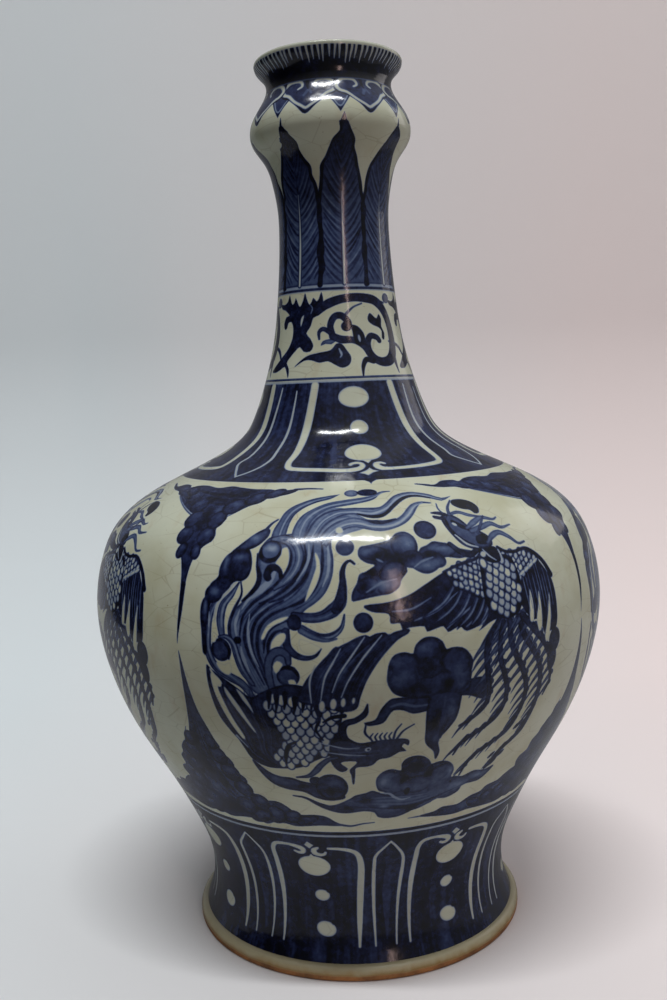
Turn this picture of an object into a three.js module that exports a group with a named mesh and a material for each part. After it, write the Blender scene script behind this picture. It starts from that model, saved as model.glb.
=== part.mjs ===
import * as THREE from 'three';

// Bottle vase with a garlic-shaped head, thrown in sections that are trimmed with a
// step at each rim and luted together with rings of clay slip. Millimetres, +Z up,
// origin on the floor under the axis.

// Driving dimensions: the height of each thrown section, counted up from the floor
const FOOT_HEIGHT = 85;
const LOWER_BODY_HEIGHT = 110;
const UPPER_BODY_HEIGHT = 73;
const SHOULDER_HEIGHT = 51.5;
const NECK_HEIGHT = 98.5;
const BULB_HEIGHT = 67.5;
const MOUTH_HEIGHT = 14.5;

// Outside radii, and the heights of the waist, the neck's narrowest place and the
// bulb's widest place next to the section that they belong to
const WAIST_RADIUS = 88.4;
const FOOT_SPLAY = 5.1;
const FOOT_FLARE_HEIGHT = 20;
const BELLY_RADIUS = 148;
const NECK_RADIUS = 32;
const NARROWEST_BELOW_BULB = 13;
const BULB_RADIUS = 46.4;
const WIDEST_BELOW_THROAT = 25;
const THROAT_RADIUS = 35.9;
const LIP_RADIUS = 42.6;
const LIP_THICKNESS = 3.2;

// Foot ring and the base slab in its recess
const RING_HEIGHT = 8;
const RING_BEAD = 4;
const RING_CHAMFER = 1.6;
const RECESS_DEPTH = 14;
const LEDGE_WIDTH = 3.4;
const BASE_THICKNESS = 8;
const BASE_DISH = 1.5;

// Wall thickness, measured square to the wall
const FOOT_WALL = 9;
const BELLY_WALL = 7.5;
const NECK_WALL = 5.5;

// Stepped joints
const TENON_HEIGHT = 3;
const SLIP_THICKNESS = 1;
const FIT_GAP = 0.3;

const SEGMENTS = 40;

const FOOT_RADIUS = WAIST_RADIUS + FOOT_SPLAY;
const RING_RADIUS = FOOT_RADIUS + RING_BEAD;
const FOOT_SEAM_Z = FOOT_HEIGHT;
const BELLY_Z = FOOT_SEAM_Z + LOWER_BODY_HEIGHT;
const SHOULDER_SEAM_Z = BELLY_Z + UPPER_BODY_HEIGHT;
const NECK_SEAM_Z = SHOULDER_SEAM_Z + SHOULDER_HEIGHT;
const BULB_SEAM_Z = NECK_SEAM_Z + NECK_HEIGHT;
const THROAT_Z = BULB_SEAM_Z + BULB_HEIGHT;
const HEIGHT = THROAT_Z + MOUTH_HEIGHT;

// The outside line: key stations, and stations between two of them as fractions of the
// height and of the radius from the lower one to the upper one
const between = (a, b, fractions) => fractions.map(([fz, fr]) =>
  [a[0] + (b[0] - a[0]) * fz, a[1] + (b[1] - a[1]) * fr]);
const foot = [RING_HEIGHT, FOOT_RADIUS];
const waist = [RING_HEIGHT + FOOT_FLARE_HEIGHT, WAIST_RADIUS];
const belly = [BELLY_Z, BELLY_RADIUS];
const neck = [BULB_SEAM_Z - NARROWEST_BELOW_BULB, NECK_RADIUS];
const bulb = [THROAT_Z - WIDEST_BELOW_THROAT, BULB_RADIUS];
const throat = [THROAT_Z, THROAT_RADIUS];
const lip = [HEIGHT - LIP_THICKNESS / 2, LIP_RADIUS];
const stations = [
  foot,
  ...between(foot, waist, [[0.4, 0.6]]),
  waist,
  ...between(waist, belly, [[0.132, 0.044], [0.263, 0.195], [0.401, 0.391], [0.581, 0.678], [0.79, 0.913]]),
  belly,
  ...between(belly, neck, [[0.143, 0.045], [0.238, 0.145], [0.31, 0.327], [0.367, 0.543], [0.429, 0.741],
    [0.5, 0.836], [0.595, 0.898], [0.7, 0.948], [0.81, 0.976]]),
  neck,
  ...between(neck, bulb, [[0.24, 0.02], [0.5, 0.18], [0.74, 0.52], [0.9, 0.93]]),
  bulb,
  ...between(bulb, throat, [[0.22, 0.1], [0.62, 0.65]]),
  throat,
  ...between(throat, lip, [[0.5, 0.36], [0.82, 0.9]]),
  lip,
];

// Natural cubic spline through the stations, giving the radius and its slope at a height
function naturalSpline(points) {
  const n = points.length;
  const h = points.slice(1).map((p, i) => p[0] - points[i][0]);
  const slope = points.slice(1).map((p, i) => (p[1] - points[i][1]) / h[i]);
  const upper = new Array(n).fill(0);
  const right = new Array(n).fill(0);
  for (let i = 1; i < n - 1; i += 1) {
    const pivot = 2 * (h[i - 1] + h[i]) - h[i - 1] * upper[i - 1];
    upper[i] = h[i] / pivot;
    right[i] = (6 * (slope[i] - slope[i - 1]) - h[i - 1] * right[i - 1]) / pivot;
  }
  const bend = new Array(n).fill(0);
  for (let i = n - 2; i > 0; i -= 1) bend[i] = right[i] - upper[i] * bend[i + 1];
  return (z) => {
    let i = 0;
    while (i < n - 2 && z > points[i + 1][0]) i += 1;
    const t = z - points[i][0];
    const u = points[i + 1][0] - z;
    const a = points[i][1] / h[i] - bend[i] * h[i] / 6;
    const b = points[i + 1][1] / h[i] - bend[i + 1] * h[i] / 6;
    const radius = (bend[i] * u ** 3 + bend[i + 1] * t ** 3) / (6 * h[i]) + a * u + b * t;
    const lean = (bend[i + 1] * t ** 2 - bend[i] * u ** 2) / (2 * h[i]) - a + b;
    return { radius, lean };
  };
}
const outline = naturalSpline(stations);
const outside = (z) => outline(z).radius;

// The inside line: the wall thins from the foot to the lip, and the recess under the
// base slab is a plain bore
const wallStations = [
  [0, FOOT_WALL],
  [BELLY_Z, BELLY_WALL],
  [neck[0], NECK_WALL],
  [HEIGHT, LIP_THICKNESS],
];
function wallAt(z) {
  let i = 0;
  while (i < wallStations.length - 2 && z > wallStations[i + 1][0]) i += 1;
  const [z0, w0] = wallStations[i];
  const [z1, w1] = wallStations[i + 1];
  return w0 + (w1 - w0) * (z - z0) / (z1 - z0);
}
const BASE_TOP_Z = RECESS_DEPTH + BASE_THICKNESS;
const LEDGE_Z = BASE_TOP_Z + SLIP_THICKNESS;
function inside(z) {
  const { radius, lean } = outline(z);
  return radius - wallAt(z) * Math.sqrt(1 + lean * lean);
}
const RECESS_RADIUS = inside(LEDGE_Z) + LEDGE_WIDTH;
const bore = (z) => (z < LEDGE_Z ? RECESS_RADIUS : inside(z));

// Each seam: a step in the wall, with the tenon on the lower piece's inner half
const STEP_HEIGHT = TENON_HEIGHT + SLIP_THICKNESS;
function seamAt(z) {
  const top = z + STEP_HEIGHT;
  const skin = Math.min(outside(z), outside(top));
  const lining = Math.max(bore(z), bore(top));
  return { z, top, step: (skin + lining) / 2 };
}
const ringSeam = seamAt(RING_HEIGHT);
const footSeam = seamAt(FOOT_SEAM_Z);
const bellySeam = seamAt(BELLY_Z);
const shoulderSeam = seamAt(SHOULDER_SEAM_Z);
const neckSeam = seamAt(NECK_SEAM_Z);
const bulbSeam = seamAt(BULB_SEAM_Z);
const lipSeam = seamAt(THROAT_Z);

// Points [radius, height] along a line from one height to another
function along(line, from, to, steps) {
  const points = [];
  for (let i = 0; i <= steps; i += 1) {
    const z = from + (to - from) * i / steps;
    points.push([line(z), z]);
  }
  return points;
}

// Top of a piece at a seam, from the skin to the lining: a face, then the tenon
const tenonTop = (seam) => [
  [seam.step - FIT_GAP, seam.z],
  [seam.step - FIT_GAP, seam.z + TENON_HEIGHT],
  [bore(seam.z + TENON_HEIGHT), seam.z + TENON_HEIGHT],
];
// Bottom of a piece at a seam, from the lining to the skin: a rebate over the tenon
const rebateBottom = (seam) => [
  [bore(seam.top), seam.top],
  [seam.step, seam.top],
  [seam.step, seam.z],
];

const glaze = new THREE.MeshStandardMaterial({ color: 0xa9ac93, roughness: 0.22, metalness: 0 });
const cobalt = new THREE.MeshStandardMaterial({ color: 0x23305f, roughness: 0.22, metalness: 0 });
const bisque = new THREE.MeshStandardMaterial({ color: 0x9a6038, roughness: 0.85, metalness: 0 });
const slip = new THREE.MeshStandardMaterial({ color: 0xb9ad94, roughness: 0.8, metalness: 0 });

const vase = new THREE.Group();
vase.rotation.x = Math.PI / 2;

// A turned piece: its section runs up the skin and down the lining, and closes
function turned(name, section, material) {
  const points = section.map(([r, z]) => new THREE.Vector2(r, z));
  if (section[0][0] > 0) points.push(points[0].clone());
  const mesh = new THREE.Mesh(new THREE.LatheGeometry(points, SEGMENTS), material.clone());
  mesh.name = name;
  vase.add(mesh);
}

// A thrown section between two seams
function thrown(name, low, high, skinSteps, liningSteps, material) {
  turned(name, [
    ...rebateBottom(low),
    ...along(outside, low.z, high.z, skinSteps),
    ...tenonTop(high),
    ...along(bore, high.z, low.top, liningSteps).slice(1, -1),
  ], material);
}

// A thin ring of slip on top of a tenon
function slipRing(name, seam) {
  const low = seam.z + TENON_HEIGHT;
  const lining = Math.max(bore(low), bore(seam.top));
  turned(name, [
    [lining, low],
    [seam.step - FIT_GAP, low],
    [seam.step - FIT_GAP, seam.top],
    [lining, seam.top],
  ], slip);
}

// Foot ring: the unglazed rim that the vase stands on, with a rounded bead outside
turned('foot_ring', [
  [RECESS_RADIUS + RING_CHAMFER, 0],
  [RING_RADIUS - RING_CHAMFER, 0],
  [RING_RADIUS - 0.3 * RING_CHAMFER, 0.3 * RING_CHAMFER],
  [RING_RADIUS, RING_CHAMFER],
  [RING_RADIUS, RING_HEIGHT / 2],
  [RING_RADIUS - 0.3 * RING_BEAD, RING_HEIGHT * 0.75],
  [FOOT_RADIUS, RING_HEIGHT],
  ...tenonTop(ringSeam),
  [RECESS_RADIUS, RING_CHAMFER],
], bisque);

// Splayed foot: its lining starts as the bore under the base and steps in at the ledge
turned('splayed_foot', [
  ...rebateBottom(ringSeam),
  ...along(outside, ringSeam.z, footSeam.z, 9),
  ...tenonTop(footSeam),
  ...along(inside, footSeam.z, LEDGE_Z, 5).slice(1),
  [RECESS_RADIUS, LEDGE_Z],
], cobalt);

// Base slab: pushed up against the ledge, slightly dished underneath
turned('base_slab', [
  [0, RECESS_DEPTH + BASE_DISH],
  [RECESS_RADIUS * 0.6, RECESS_DEPTH + 0.64 * BASE_DISH],
  [RECESS_RADIUS - 2 * FIT_GAP, RECESS_DEPTH],
  [RECESS_RADIUS - 2 * FIT_GAP, BASE_TOP_Z],
  [0, BASE_TOP_Z],
], bisque);

thrown('lower_body', footSeam, bellySeam, 9, 6, glaze);
thrown('upper_body', bellySeam, shoulderSeam, 9, 6, glaze);
thrown('shoulder_cone', shoulderSeam, neckSeam, 7, 5, cobalt);
thrown('neck_tube', neckSeam, bulbSeam, 7, 5, glaze);
thrown('garlic_bulb', bulbSeam, lipSeam, 11, 7, glaze);

// Mouth rim: flares to a thin rounded lip
const lipRound = LIP_THICKNESS / 2;
const lipCentre = LIP_RADIUS - lipRound;
const lipArc = [0, 45, 90, 135, 180].map((degrees) => {
  const a = degrees * Math.PI / 180;
  return [lipCentre + lipRound * Math.cos(a), HEIGHT - lipRound + lipRound * Math.sin(a)];
});
turned('mouth_rim', [
  ...rebateBottom(lipSeam),
  ...along(outside, lipSeam.z, HEIGHT - lipRound, 5).slice(0, -1),
  ...lipArc,
  ...along(inside, HEIGHT - 1.5 * LIP_THICKNESS, lipSeam.top, 2).slice(0, -1),
], cobalt);

slipRing('slip_foot_ring', ringSeam);
turned('slip_base', [
  [inside(LEDGE_Z), BASE_TOP_Z],
  [RECESS_RADIUS - 2 * FIT_GAP, BASE_TOP_Z],
  [RECESS_RADIUS - 2 * FIT_GAP, LEDGE_Z],
  [inside(LEDGE_Z), LEDGE_Z],
], slip);
slipRing('slip_foot', footSeam);
slipRing('slip_belly', bellySeam);
slipRing('slip_shoulder', shoulderSeam);
slipRing('slip_neck', neckSeam);
slipRing('slip_bulb', bulbSeam);
slipRing('slip_mouth', lipSeam);

export default vase;
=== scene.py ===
"""Looks of the garlic-head bottle vase: thrown stoneware, painted in cobalt under a clear glaze."""

import math

import bpy
import numpy as np
from mathutils import Matrix, Vector


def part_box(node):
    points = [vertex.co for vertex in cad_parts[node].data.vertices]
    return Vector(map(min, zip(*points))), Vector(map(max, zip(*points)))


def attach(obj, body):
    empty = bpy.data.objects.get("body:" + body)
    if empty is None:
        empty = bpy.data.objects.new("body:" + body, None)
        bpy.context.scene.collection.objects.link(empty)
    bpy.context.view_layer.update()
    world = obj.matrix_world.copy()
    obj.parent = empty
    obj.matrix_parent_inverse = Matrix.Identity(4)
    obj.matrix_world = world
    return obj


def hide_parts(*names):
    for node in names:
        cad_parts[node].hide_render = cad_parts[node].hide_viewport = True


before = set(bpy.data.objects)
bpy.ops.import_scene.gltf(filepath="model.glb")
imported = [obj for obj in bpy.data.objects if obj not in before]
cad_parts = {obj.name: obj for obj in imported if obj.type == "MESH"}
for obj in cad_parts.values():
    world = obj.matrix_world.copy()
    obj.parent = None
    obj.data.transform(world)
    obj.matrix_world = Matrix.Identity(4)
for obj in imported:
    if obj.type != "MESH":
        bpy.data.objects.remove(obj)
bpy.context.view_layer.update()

# Foot ring
# The rim that the vase stands on, thrown in a buff stoneware clay that fires orange-brown where it is left
# bare. The upper half of its rounded bead is glazed, and the foot is luted over a step in its top.
MM = 0.001
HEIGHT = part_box("mouth_rim")[1].z / MM
SECTIONS = ("splayed_foot", "lower_body", "upper_body", "shoulder_cone", "neck_tube", "garlic_bulb",
            "mouth_rim")
SEAMS = [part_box(node)[0].z / MM for node in SECTIONS]
RING_SEAM, FOOT_SEAM, BELLY_SEAM, SHOULDER_SEAM, NECK_SEAM, BULB_SEAM, MOUTH_SEAM = SEAMS
RING_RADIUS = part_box("foot_ring")[1].x / MM
BELLY_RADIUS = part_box("upper_body")[1].x / MM
FOOT_RADIUS, WAIST_RADIUS, NECK_RADIUS = 93.5, 88.4, 32
BULB_RADIUS, THROAT_RADIUS, LIP_RADIUS = 46.4, 35.9, 42.6
FLARE_HEIGHT, NARROWEST_BELOW_BULB, WIDEST_BELOW_THROAT = 20, 13, 25
LIP_THICKNESS = 3.2
WALLS = ((0, 9), (BELLY_SEAM, 7.5), (BULB_SEAM - NARROWEST_BELOW_BULB, 5.5), (HEIGHT, LIP_THICKNESS))
TENON, SLIP, FIT_GAP = 3, 1, 0.3
NEARBY = 0.01
BASE_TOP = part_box("base_slab")[1].z / MM
LEDGE = BASE_TOP + SLIP
LEDGE_WIDTH = 3.4
RING_CHAMFER = 1.6


def between(low, high, shares):
    """Places between two stations, as shares of the height and of the change in radius."""
    return [(low[0] + (high[0] - low[0]) * up, low[1] + (high[1] - low[1]) * out) for up, out in shares]


def spline(places):
    """The natural cubic spline through (height, radius) places: the bends m solve
    h0 m0 + 2 (h0 + h1) m1 + h1 m2 = 6 (slope1 - slope0), with no bend at either end."""
    at, value = np.array(places, float).T
    step = np.diff(at)
    slope = np.diff(value) / step
    inner = np.arange(1, len(at) - 1)
    matrix = np.eye(len(at))
    matrix[inner, inner - 1] = step[:-1]
    matrix[inner, inner] = 2 * (step[:-1] + step[1:])
    matrix[inner, inner + 1] = step[1:]
    bend = np.linalg.solve(matrix, np.concatenate([[0], 6 * np.diff(slope), [0]]))

    def radius(height):
        i = np.clip(np.searchsorted(at, height) - 1, 0, len(at) - 2)
        t = height - at[i]
        u = at[i + 1] - height
        curved = (bend[i] * u**3 + bend[i + 1] * t**3) / (6 * step[i])
        return curved + (value[i] / step[i] - bend[i] * step[i] / 6) * u + (
            value[i + 1] / step[i] - bend[i + 1] * step[i] / 6) * t

    return radius


foot = (RING_SEAM, FOOT_RADIUS)
waist = (RING_SEAM + FLARE_HEIGHT, WAIST_RADIUS)
belly = (BELLY_SEAM, BELLY_RADIUS)
neck = (BULB_SEAM - NARROWEST_BELOW_BULB, NECK_RADIUS)
bulb = (MOUTH_SEAM - WIDEST_BELOW_THROAT, BULB_RADIUS)
throat = (MOUTH_SEAM, THROAT_RADIUS)
lip = (HEIGHT - LIP_THICKNESS / 2, LIP_RADIUS)
outside = spline([foot, *between(foot, waist, [(0.4, 0.6)]), waist,
                  *between(waist, belly,
                           [(0.132, 0.044), (0.263, 0.195), (0.401, 0.391), (0.581, 0.678), (0.79, 0.913)]),
                  belly,
                  *between(belly, neck,
                           [(0.143, 0.045), (0.238, 0.145), (0.31, 0.327), (0.367, 0.543), (0.429, 0.741),
                            (0.5, 0.836), (0.595, 0.898), (0.7, 0.948), (0.81, 0.976)]), neck,
                  *between(neck, bulb, [(0.24, 0.02), (0.5, 0.18), (0.74, 0.52), (0.9, 0.93)]), bulb,
                  *between(bulb, throat, [(0.22, 0.1), (0.62, 0.65)]), throat,
                  *between(throat, lip, [(0.5, 0.36), (0.82, 0.9)]), lip])


def inside(height):
    """The lining: the outside line, set in by the wall's thickness measured square to the wall."""
    lean = (outside(height + NEARBY) - outside(height - NEARBY)) / (2 * NEARBY)
    return outside(height) - np.interp(height, *zip(*WALLS)) * np.sqrt(1 + lean * lean)


RECESS_RADIUS = inside(LEDGE) + LEDGE_WIDTH


def bore(height):
    """The lining with the plain recess under the base slab."""
    return np.where(np.asarray(height) < LEDGE, RECESS_RADIUS, inside(height))


def step_radius(seam):
    """Radius of a joint's step, half way between the skin and the lining."""
    top = seam + TENON + SLIP
    return (min(outside(seam), outside(top)) + max(bore(seam), bore(top))) / 2


def tenon_top(seam):
    """The top of a piece at a seam, from the skin inwards: a face, then the tenon."""
    step = step_radius(seam) - FIT_GAP
    return [(step, seam), (step, seam + TENON), (bore(seam + TENON), seam + TENON)]


def rebate_bottom(seam):
    """The underside of a piece at a seam, from the lining outwards: a rebate that fits over the tenon."""
    top = seam + TENON + SLIP
    return [(bore(top), top), (step_radius(seam), top), (step_radius(seam), seam)]


def revolve(name, rings, columns, sharp=(), turn=0.0):
    """A closed solid of revolution: each ring is (radius, height) in mm and column j stands at the angle
    turn + 2 pi j / columns, so a point is (radius cos angle, radius sin angle, height). The last ring joins
    the first. A ring of no radius is one point. Edges along the rings numbered in sharp stay crisp."""
    radius, height = np.array(rings, float).T
    angle = turn + 2 * math.pi * np.arange(columns) / columns
    around = np.arange(columns)
    numbers, points, count = [], [], 0
    for r, z in zip(radius, height):
        a = angle if r > 0 else angle[:1]
        points.append(np.stack([r * np.cos(a), r * np.sin(a), np.full(len(a), z)], -1))
        numbers.append(count + (around if r > 0 else 0 * around))
        count += len(a)
    corners, sizes = [], []
    for k, low in enumerate(numbers):
        high = numbers[(k + 1) % len(numbers)]
        sides = [low, np.roll(low, -1), np.roll(high, -1), high]
        if radius[k] == 0:
            del sides[1]
        elif radius[(k + 1) % len(radius)] == 0:
            del sides[2]
        if len({len(np.unique(side)) for side in sides}) == 1 and len(np.unique(low)) == 1:
            continue
        corners.append(np.stack(sides, -1).ravel())
        sizes.append(np.full(columns, len(sides)))
    corners, sizes = np.concatenate(corners), np.concatenate(sizes)
    mesh = bpy.data.meshes.new(name)
    mesh.vertices.add(count)
    mesh.vertices.foreach_set("co", (np.concatenate(points) * MM).ravel())
    mesh.loops.add(len(corners))
    mesh.loops.foreach_set("vertex_index", corners)
    mesh.polygons.add(len(sizes))
    mesh.polygons.foreach_set("loop_start", np.append(0, np.cumsum(sizes)[:-1]))
    mesh.polygons.foreach_set("use_smooth", np.ones(len(sizes), bool))
    mesh.update(calc_edges=True)
    ends = np.zeros(2 * len(mesh.edges), int)
    mesh.edges.foreach_get("vertices", ends)
    ring = np.searchsorted([n.min() for n in numbers], ends.reshape(-1, 2), side="right") - 1
    crisp = (ring[:, 0] == ring[:, 1]) & np.isin(ring[:, 0], list(sharp))
    mesh.edges.foreach_set("use_edge_sharp", crisp)
    mesh.validate()
    obj = bpy.data.objects.new(name, mesh)
    bpy.context.scene.collection.objects.link(obj)
    return obj


class Value:
    """One value in a material, so that a formula over such values reads as plain arithmetic."""

    def __init__(self, nodes, socket):
        self.nodes, self.socket = nodes, socket

    def maths(self, operation, *others):
        return self.nodes.node("ShaderNodeMath", {"operation": operation}, dict(enumerate((self, *others))))

    def __add__(self, other):
        return self.maths("ADD", other)

    def __mul__(self, other):
        return self.maths("MULTIPLY", other)

    def __sub__(self, other):
        return self.maths("SUBTRACT", other)

    def __rsub__(self, other):
        return self * -1 + other

    def __truediv__(self, other):
        return self.maths("DIVIDE", other)

    __radd__ = __add__
    __rmul__ = __mul__

    def clamp(self):
        return self.maths("MINIMUM", 1).maths("MAXIMUM", 0)

    def rise(self, low, high):
        """0 up to low and 1 from high, with a smooth climb between them."""
        t = ((self - low) / (high - low)).clamp()
        return t * t * (3 - 2 * t)


class Look:
    """A material, or the world, and the few ways that its nodes are made."""

    def __init__(self, name, kind="materials"):
        self.data = getattr(bpy.data, kind).new(name)
        self.data.use_nodes = True
        self.tree = self.data.node_tree
        self.tree.nodes.clear()

    def node(self, kind, settings, values, output=0):
        """A node of that kind: its settings are made first, then its inputs. Gives one of its outputs."""
        made = self.tree.nodes.new(kind)
        for name, setting in settings.items():
            setattr(made, name, setting)
        for name, value in values.items():
            if isinstance(value, Value):
                self.tree.links.new(value.socket, made.inputs[name])
            else:
                made.inputs[name].default_value = value
        return Value(self, made.outputs[output]) if len(made.outputs) else None

    def place(self, x=1, y=1, z=1):
        """Object coordinates in mm, stretched along the axes."""
        source = self.node("ShaderNodeTexCoord", {}, {}, "Object")
        return self.node("ShaderNodeVectorMath", {"operation": "MULTIPLY"},
                         {0: source, 1: (x / MM, y / MM, z / MM)})

    def height(self):
        """Height above the floor in mm."""
        return self.node("ShaderNodeSeparateXYZ", {}, {0: self.place()}, 2)

    def noise(self, size, detail=3, rough=0.55, stretch=(1, 1, 1)):
        """Smooth noise from 0 to 1 whose lumps are about size mm across."""
        return self.node("ShaderNodeTexNoise", {"noise_dimensions": "3D"},
                         {"Vector": self.place(*stretch), "Scale": 1 / size, "Detail": detail,
                          "Roughness": rough})

    def mix(self, one, other, share):
        """One colour going over into the other."""
        return self.node("ShaderNodeMix", {"data_type": "RGBA"}, {0: share, 6: one, 7: other}, 2)

    def surface(self, values, bump=None, bump_height=0.1):
        """The material's surface. bump is a height from 0 to 1 that stands for bump_height mm."""
        values = dict(values)
        if bump is not None:
            values["Normal"] = self.node("ShaderNodeBump", {},
                                         {"Strength": 1.0, "Distance": bump_height * MM, "Height": bump})
        self.node("ShaderNodeOutputMaterial", {}, {0: self.node("ShaderNodeBsdfPrincipled", {}, values)})
        return self.data


def colour(red, green, blue):
    """A colour given as sRGB bytes, in the linear light that a material wants."""
    share = np.array([red, green, blue]) / 255
    linear = np.where(share <= 0.04045, share / 12.92, ((share + 0.055) / 1.055) ** 2.4)
    return (*linear.tolist(), 1.0)


IVORY = colour(197, 201, 181)
IVORY_SHADE = colour(182, 182, 155)
CLAY = colour(170, 114, 64)
CLAY_DARK = colour(98, 66, 38)


def finish_piece(obj, slot, node, *materials):
    """Hands the piece to the frame: it rides on the one body and stands for its CAD node."""
    for material in materials:
        obj.data.materials.append(material)
    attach(obj, "root")
    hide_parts(node)


def bare_clay(name, glaze_from, glaze_to):
    """Unglazed fired clay, with a clear glaze over it from one height to another."""
    look = Look(name)
    grain = look.noise(2.2, 6, 0.7)
    blotch = look.noise(17)
    clay = look.mix(CLAY_DARK, CLAY, (0.35 * grain + 0.9 * blotch).rise(0.35, 0.85))
    edge = 1.6 * look.noise(9)
    glazed = (look.height() + edge).rise(glaze_from, glaze_to)
    # The glaze goes darker and browner towards its lower edge, over the clay.
    brown_share = 1 - (look.height() + 3 * edge).rise(glaze_from, glaze_to + 5)
    tone = look.mix(clay, look.mix(IVORY_SHADE, colour(150, 122, 74), (0.35 + brown_share).clamp()), glazed)
    rough = 0.82 - 0.6 * glazed
    return look.surface({"Base Color": tone, "Roughness": rough, "IOR": 1.5}, grain, bump_height=0.25)


bead = RING_RADIUS - FOOT_RADIUS
ring_face = [(RING_RADIUS - RING_CHAMFER + RING_CHAMFER * math.sin(a),
              RING_CHAMFER - RING_CHAMFER * math.cos(a)) for a in np.linspace(0, math.pi / 2, 7)]
ring_bead = [(FOOT_RADIUS + bead * math.cos(a), RING_SEAM / 2 + RING_SEAM / 2 * math.sin(a))
             for a in np.linspace(0, math.pi / 2, 13)]
foot_section = [(RECESS_RADIUS + RING_CHAMFER, 0), *ring_face, *ring_bead, *tenon_top(RING_SEAM),
                (RECESS_RADIUS, RING_CHAMFER)]
first_corner = len(ring_face) + len(ring_bead)
ring_corners = [0, *range(first_corner, first_corner + 5)]
foot_ring = revolve("foot_ring_clay", foot_section, columns=320, sharp=ring_corners)
ring_clay = bare_clay("bare clay, glazed above", glaze_from=3.4, glaze_to=4.6)
finish_piece(foot_ring, "bare_clay", "foot_ring", ring_clay)

# Base slab
# A thrown disc of the same clay, slightly dished underneath and pushed up against the ledge in the foot. It
# is bare below, where it has fired orange-brown, and glazed on top inside the vase.
SLAB_RADIUS = RECESS_RADIUS - 2 * FIT_GAP
SLAB_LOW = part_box("base_slab")[0].z / MM
SLAB_DISH = 1.5
SLAB_EDGE = 0.6
share = np.linspace(0, 1, 40)
dished = [(SLAB_RADIUS * t, SLAB_LOW + SLAB_DISH * math.cos(t * math.pi / 2)) for t in share[:-1]]
slab_section = [(0, SLAB_LOW + SLAB_DISH), *dished[1:], (SLAB_RADIUS - SLAB_EDGE, SLAB_LOW),
                (SLAB_RADIUS, SLAB_LOW + SLAB_EDGE), (SLAB_RADIUS, BASE_TOP - SLAB_EDGE),
                (SLAB_RADIUS - SLAB_EDGE, BASE_TOP), (0, BASE_TOP)]
last = len(slab_section) - 1
base_slab = revolve("base_slab_clay", slab_section, columns=160, sharp=range(last - 4, last))
slab_clay = bare_clay("bare clay, glazed on top", BASE_TOP - 1.5, BASE_TOP - 0.5)
finish_piece(base_slab, "bare_clay", "base_slab", slab_clay)

# Slip rings
# Thin rings of clay slip that lute the thrown sections together: one on each tenon, and one under the ledge
# that holds the base slab. They are squeezed in the joints and don't show from outside.
SLIP_BULGE = 0.3
slip_look = Look("clay slip")
slip_tone = slip_look.mix(colour(186, 173, 148), colour(160, 146, 120), slip_look.noise(4))
slip_look.surface({"Base Color": slip_tone, "Roughness": 0.85}, slip_look.noise(1.5), bump_height=0.2)
slip_rings = {"slip_base": (inside(LEDGE), SLAB_RADIUS, BASE_TOP, LEDGE)}
for part, seam in zip(("foot_ring", "foot", "belly", "shoulder", "neck", "bulb", "mouth"), SEAMS):
    low, high = seam + TENON, seam + TENON + SLIP
    slip_rings["slip_" + part] = (max(bore(low), bore(high)), step_radius(seam) - FIT_GAP, low, high)
for node, (inner, outer, low, high) in slip_rings.items():
    middle, half = (low + high) / 2, (high - low) / 2
    bulge = [(outer - SLIP_BULGE + SLIP_BULGE * math.cos(a), middle + half * math.sin(a))
             for a in np.linspace(-math.pi / 2, math.pi / 2, 7)]
    slip_section = [(inner, low), *bulge, (inner, high)]
    slip_ring = revolve(node + "_ring", slip_section, columns=128, sharp=[0, len(bulge) + 1])
    finish_piece(slip_ring, "slip", node, slip_look.data)

# Splayed foot
# The thrown foot, painted with a dark cobalt ground on which lotus lappets are left in reserve: wide panels
# with beads under a pair of scrolls, and narrow pointed ones. All painting lies under one clear glaze.
BARE, MID, DEEP, DARK, INK = 0.0, 0.5, 0.7, 0.86, 1.0
STEPS = 3
SOFT_EDGE, RING_EDGE = 0.5, 0.35
STROKE_MARGIN, SHAPE_MARGIN = 1, 1.5
WIDEST_STRETCH = 1.7
FAR = 9.0
heights = np.linspace(RING_SEAM, HEIGHT - LIP_THICKNESS / 2, 6000)
lengths = RING_SEAM + np.append(0, np.cumsum(np.hypot(np.diff(heights), np.diff(outside(heights)))))


def up_skin(height):
    """Distance up the skin in mm, counted like the height at the foot ring's seam."""
    return float(np.interp(height, heights, lengths))


def skin_rows(low, high, count):
    """Distances up the skin of count + 1 rings between two heights."""
    return np.linspace(up_skin(low), up_skin(high), count + 1)


def skin_radius(distance):
    return outside(np.interp(distance, lengths, heights))


def curve(points, step=1.3, closed=False):
    """Catmull-Rom curve through the points, as an array with a row every step or so. Between p1 and p2 it
    is (2 p1 + (p2 - p0) t + (2 p0 - 5 p1 + 4 p2 - p3) t^2 + (3 p1 - p0 - 3 p2 + p3) t^3) / 2."""
    p = np.array(points, float)
    if closed:
        p = np.vstack([p[-1:], p, p[:2]])
    else:
        p = np.vstack([2 * p[:1] - p[1:2], p, 2 * p[-1:] - p[-2:-1]])
    found = []
    for p0, p1, p2, p3 in zip(p, p[1:], p[2:], p[3:]):
        count = max(2, int(np.hypot(*(p2 - p1)[:2]) / step) + 1)
        t = (np.arange(count) / count)[:, None]
        found.append((2 * p1 + (p2 - p0) * t + (2 * p0 - 5 * p1 + 4 * p2 - p3) * t**2
                      + (3 * p1 - p0 - 3 * p2 + p3) * t**3) / 2)
    if not closed:
        found.append(p[-2:-1])
    return np.vstack(found)


def evenly(points, count):
    """The curve through the points, as that many rows at equal distances along it."""
    p = curve(points)
    length = np.append(0, np.cumsum(np.hypot(*np.diff(p, axis=0).T)))
    at = np.linspace(0, length[-1], count)
    return np.stack([np.interp(at, length, column) for column in p.T], -1)


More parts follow.
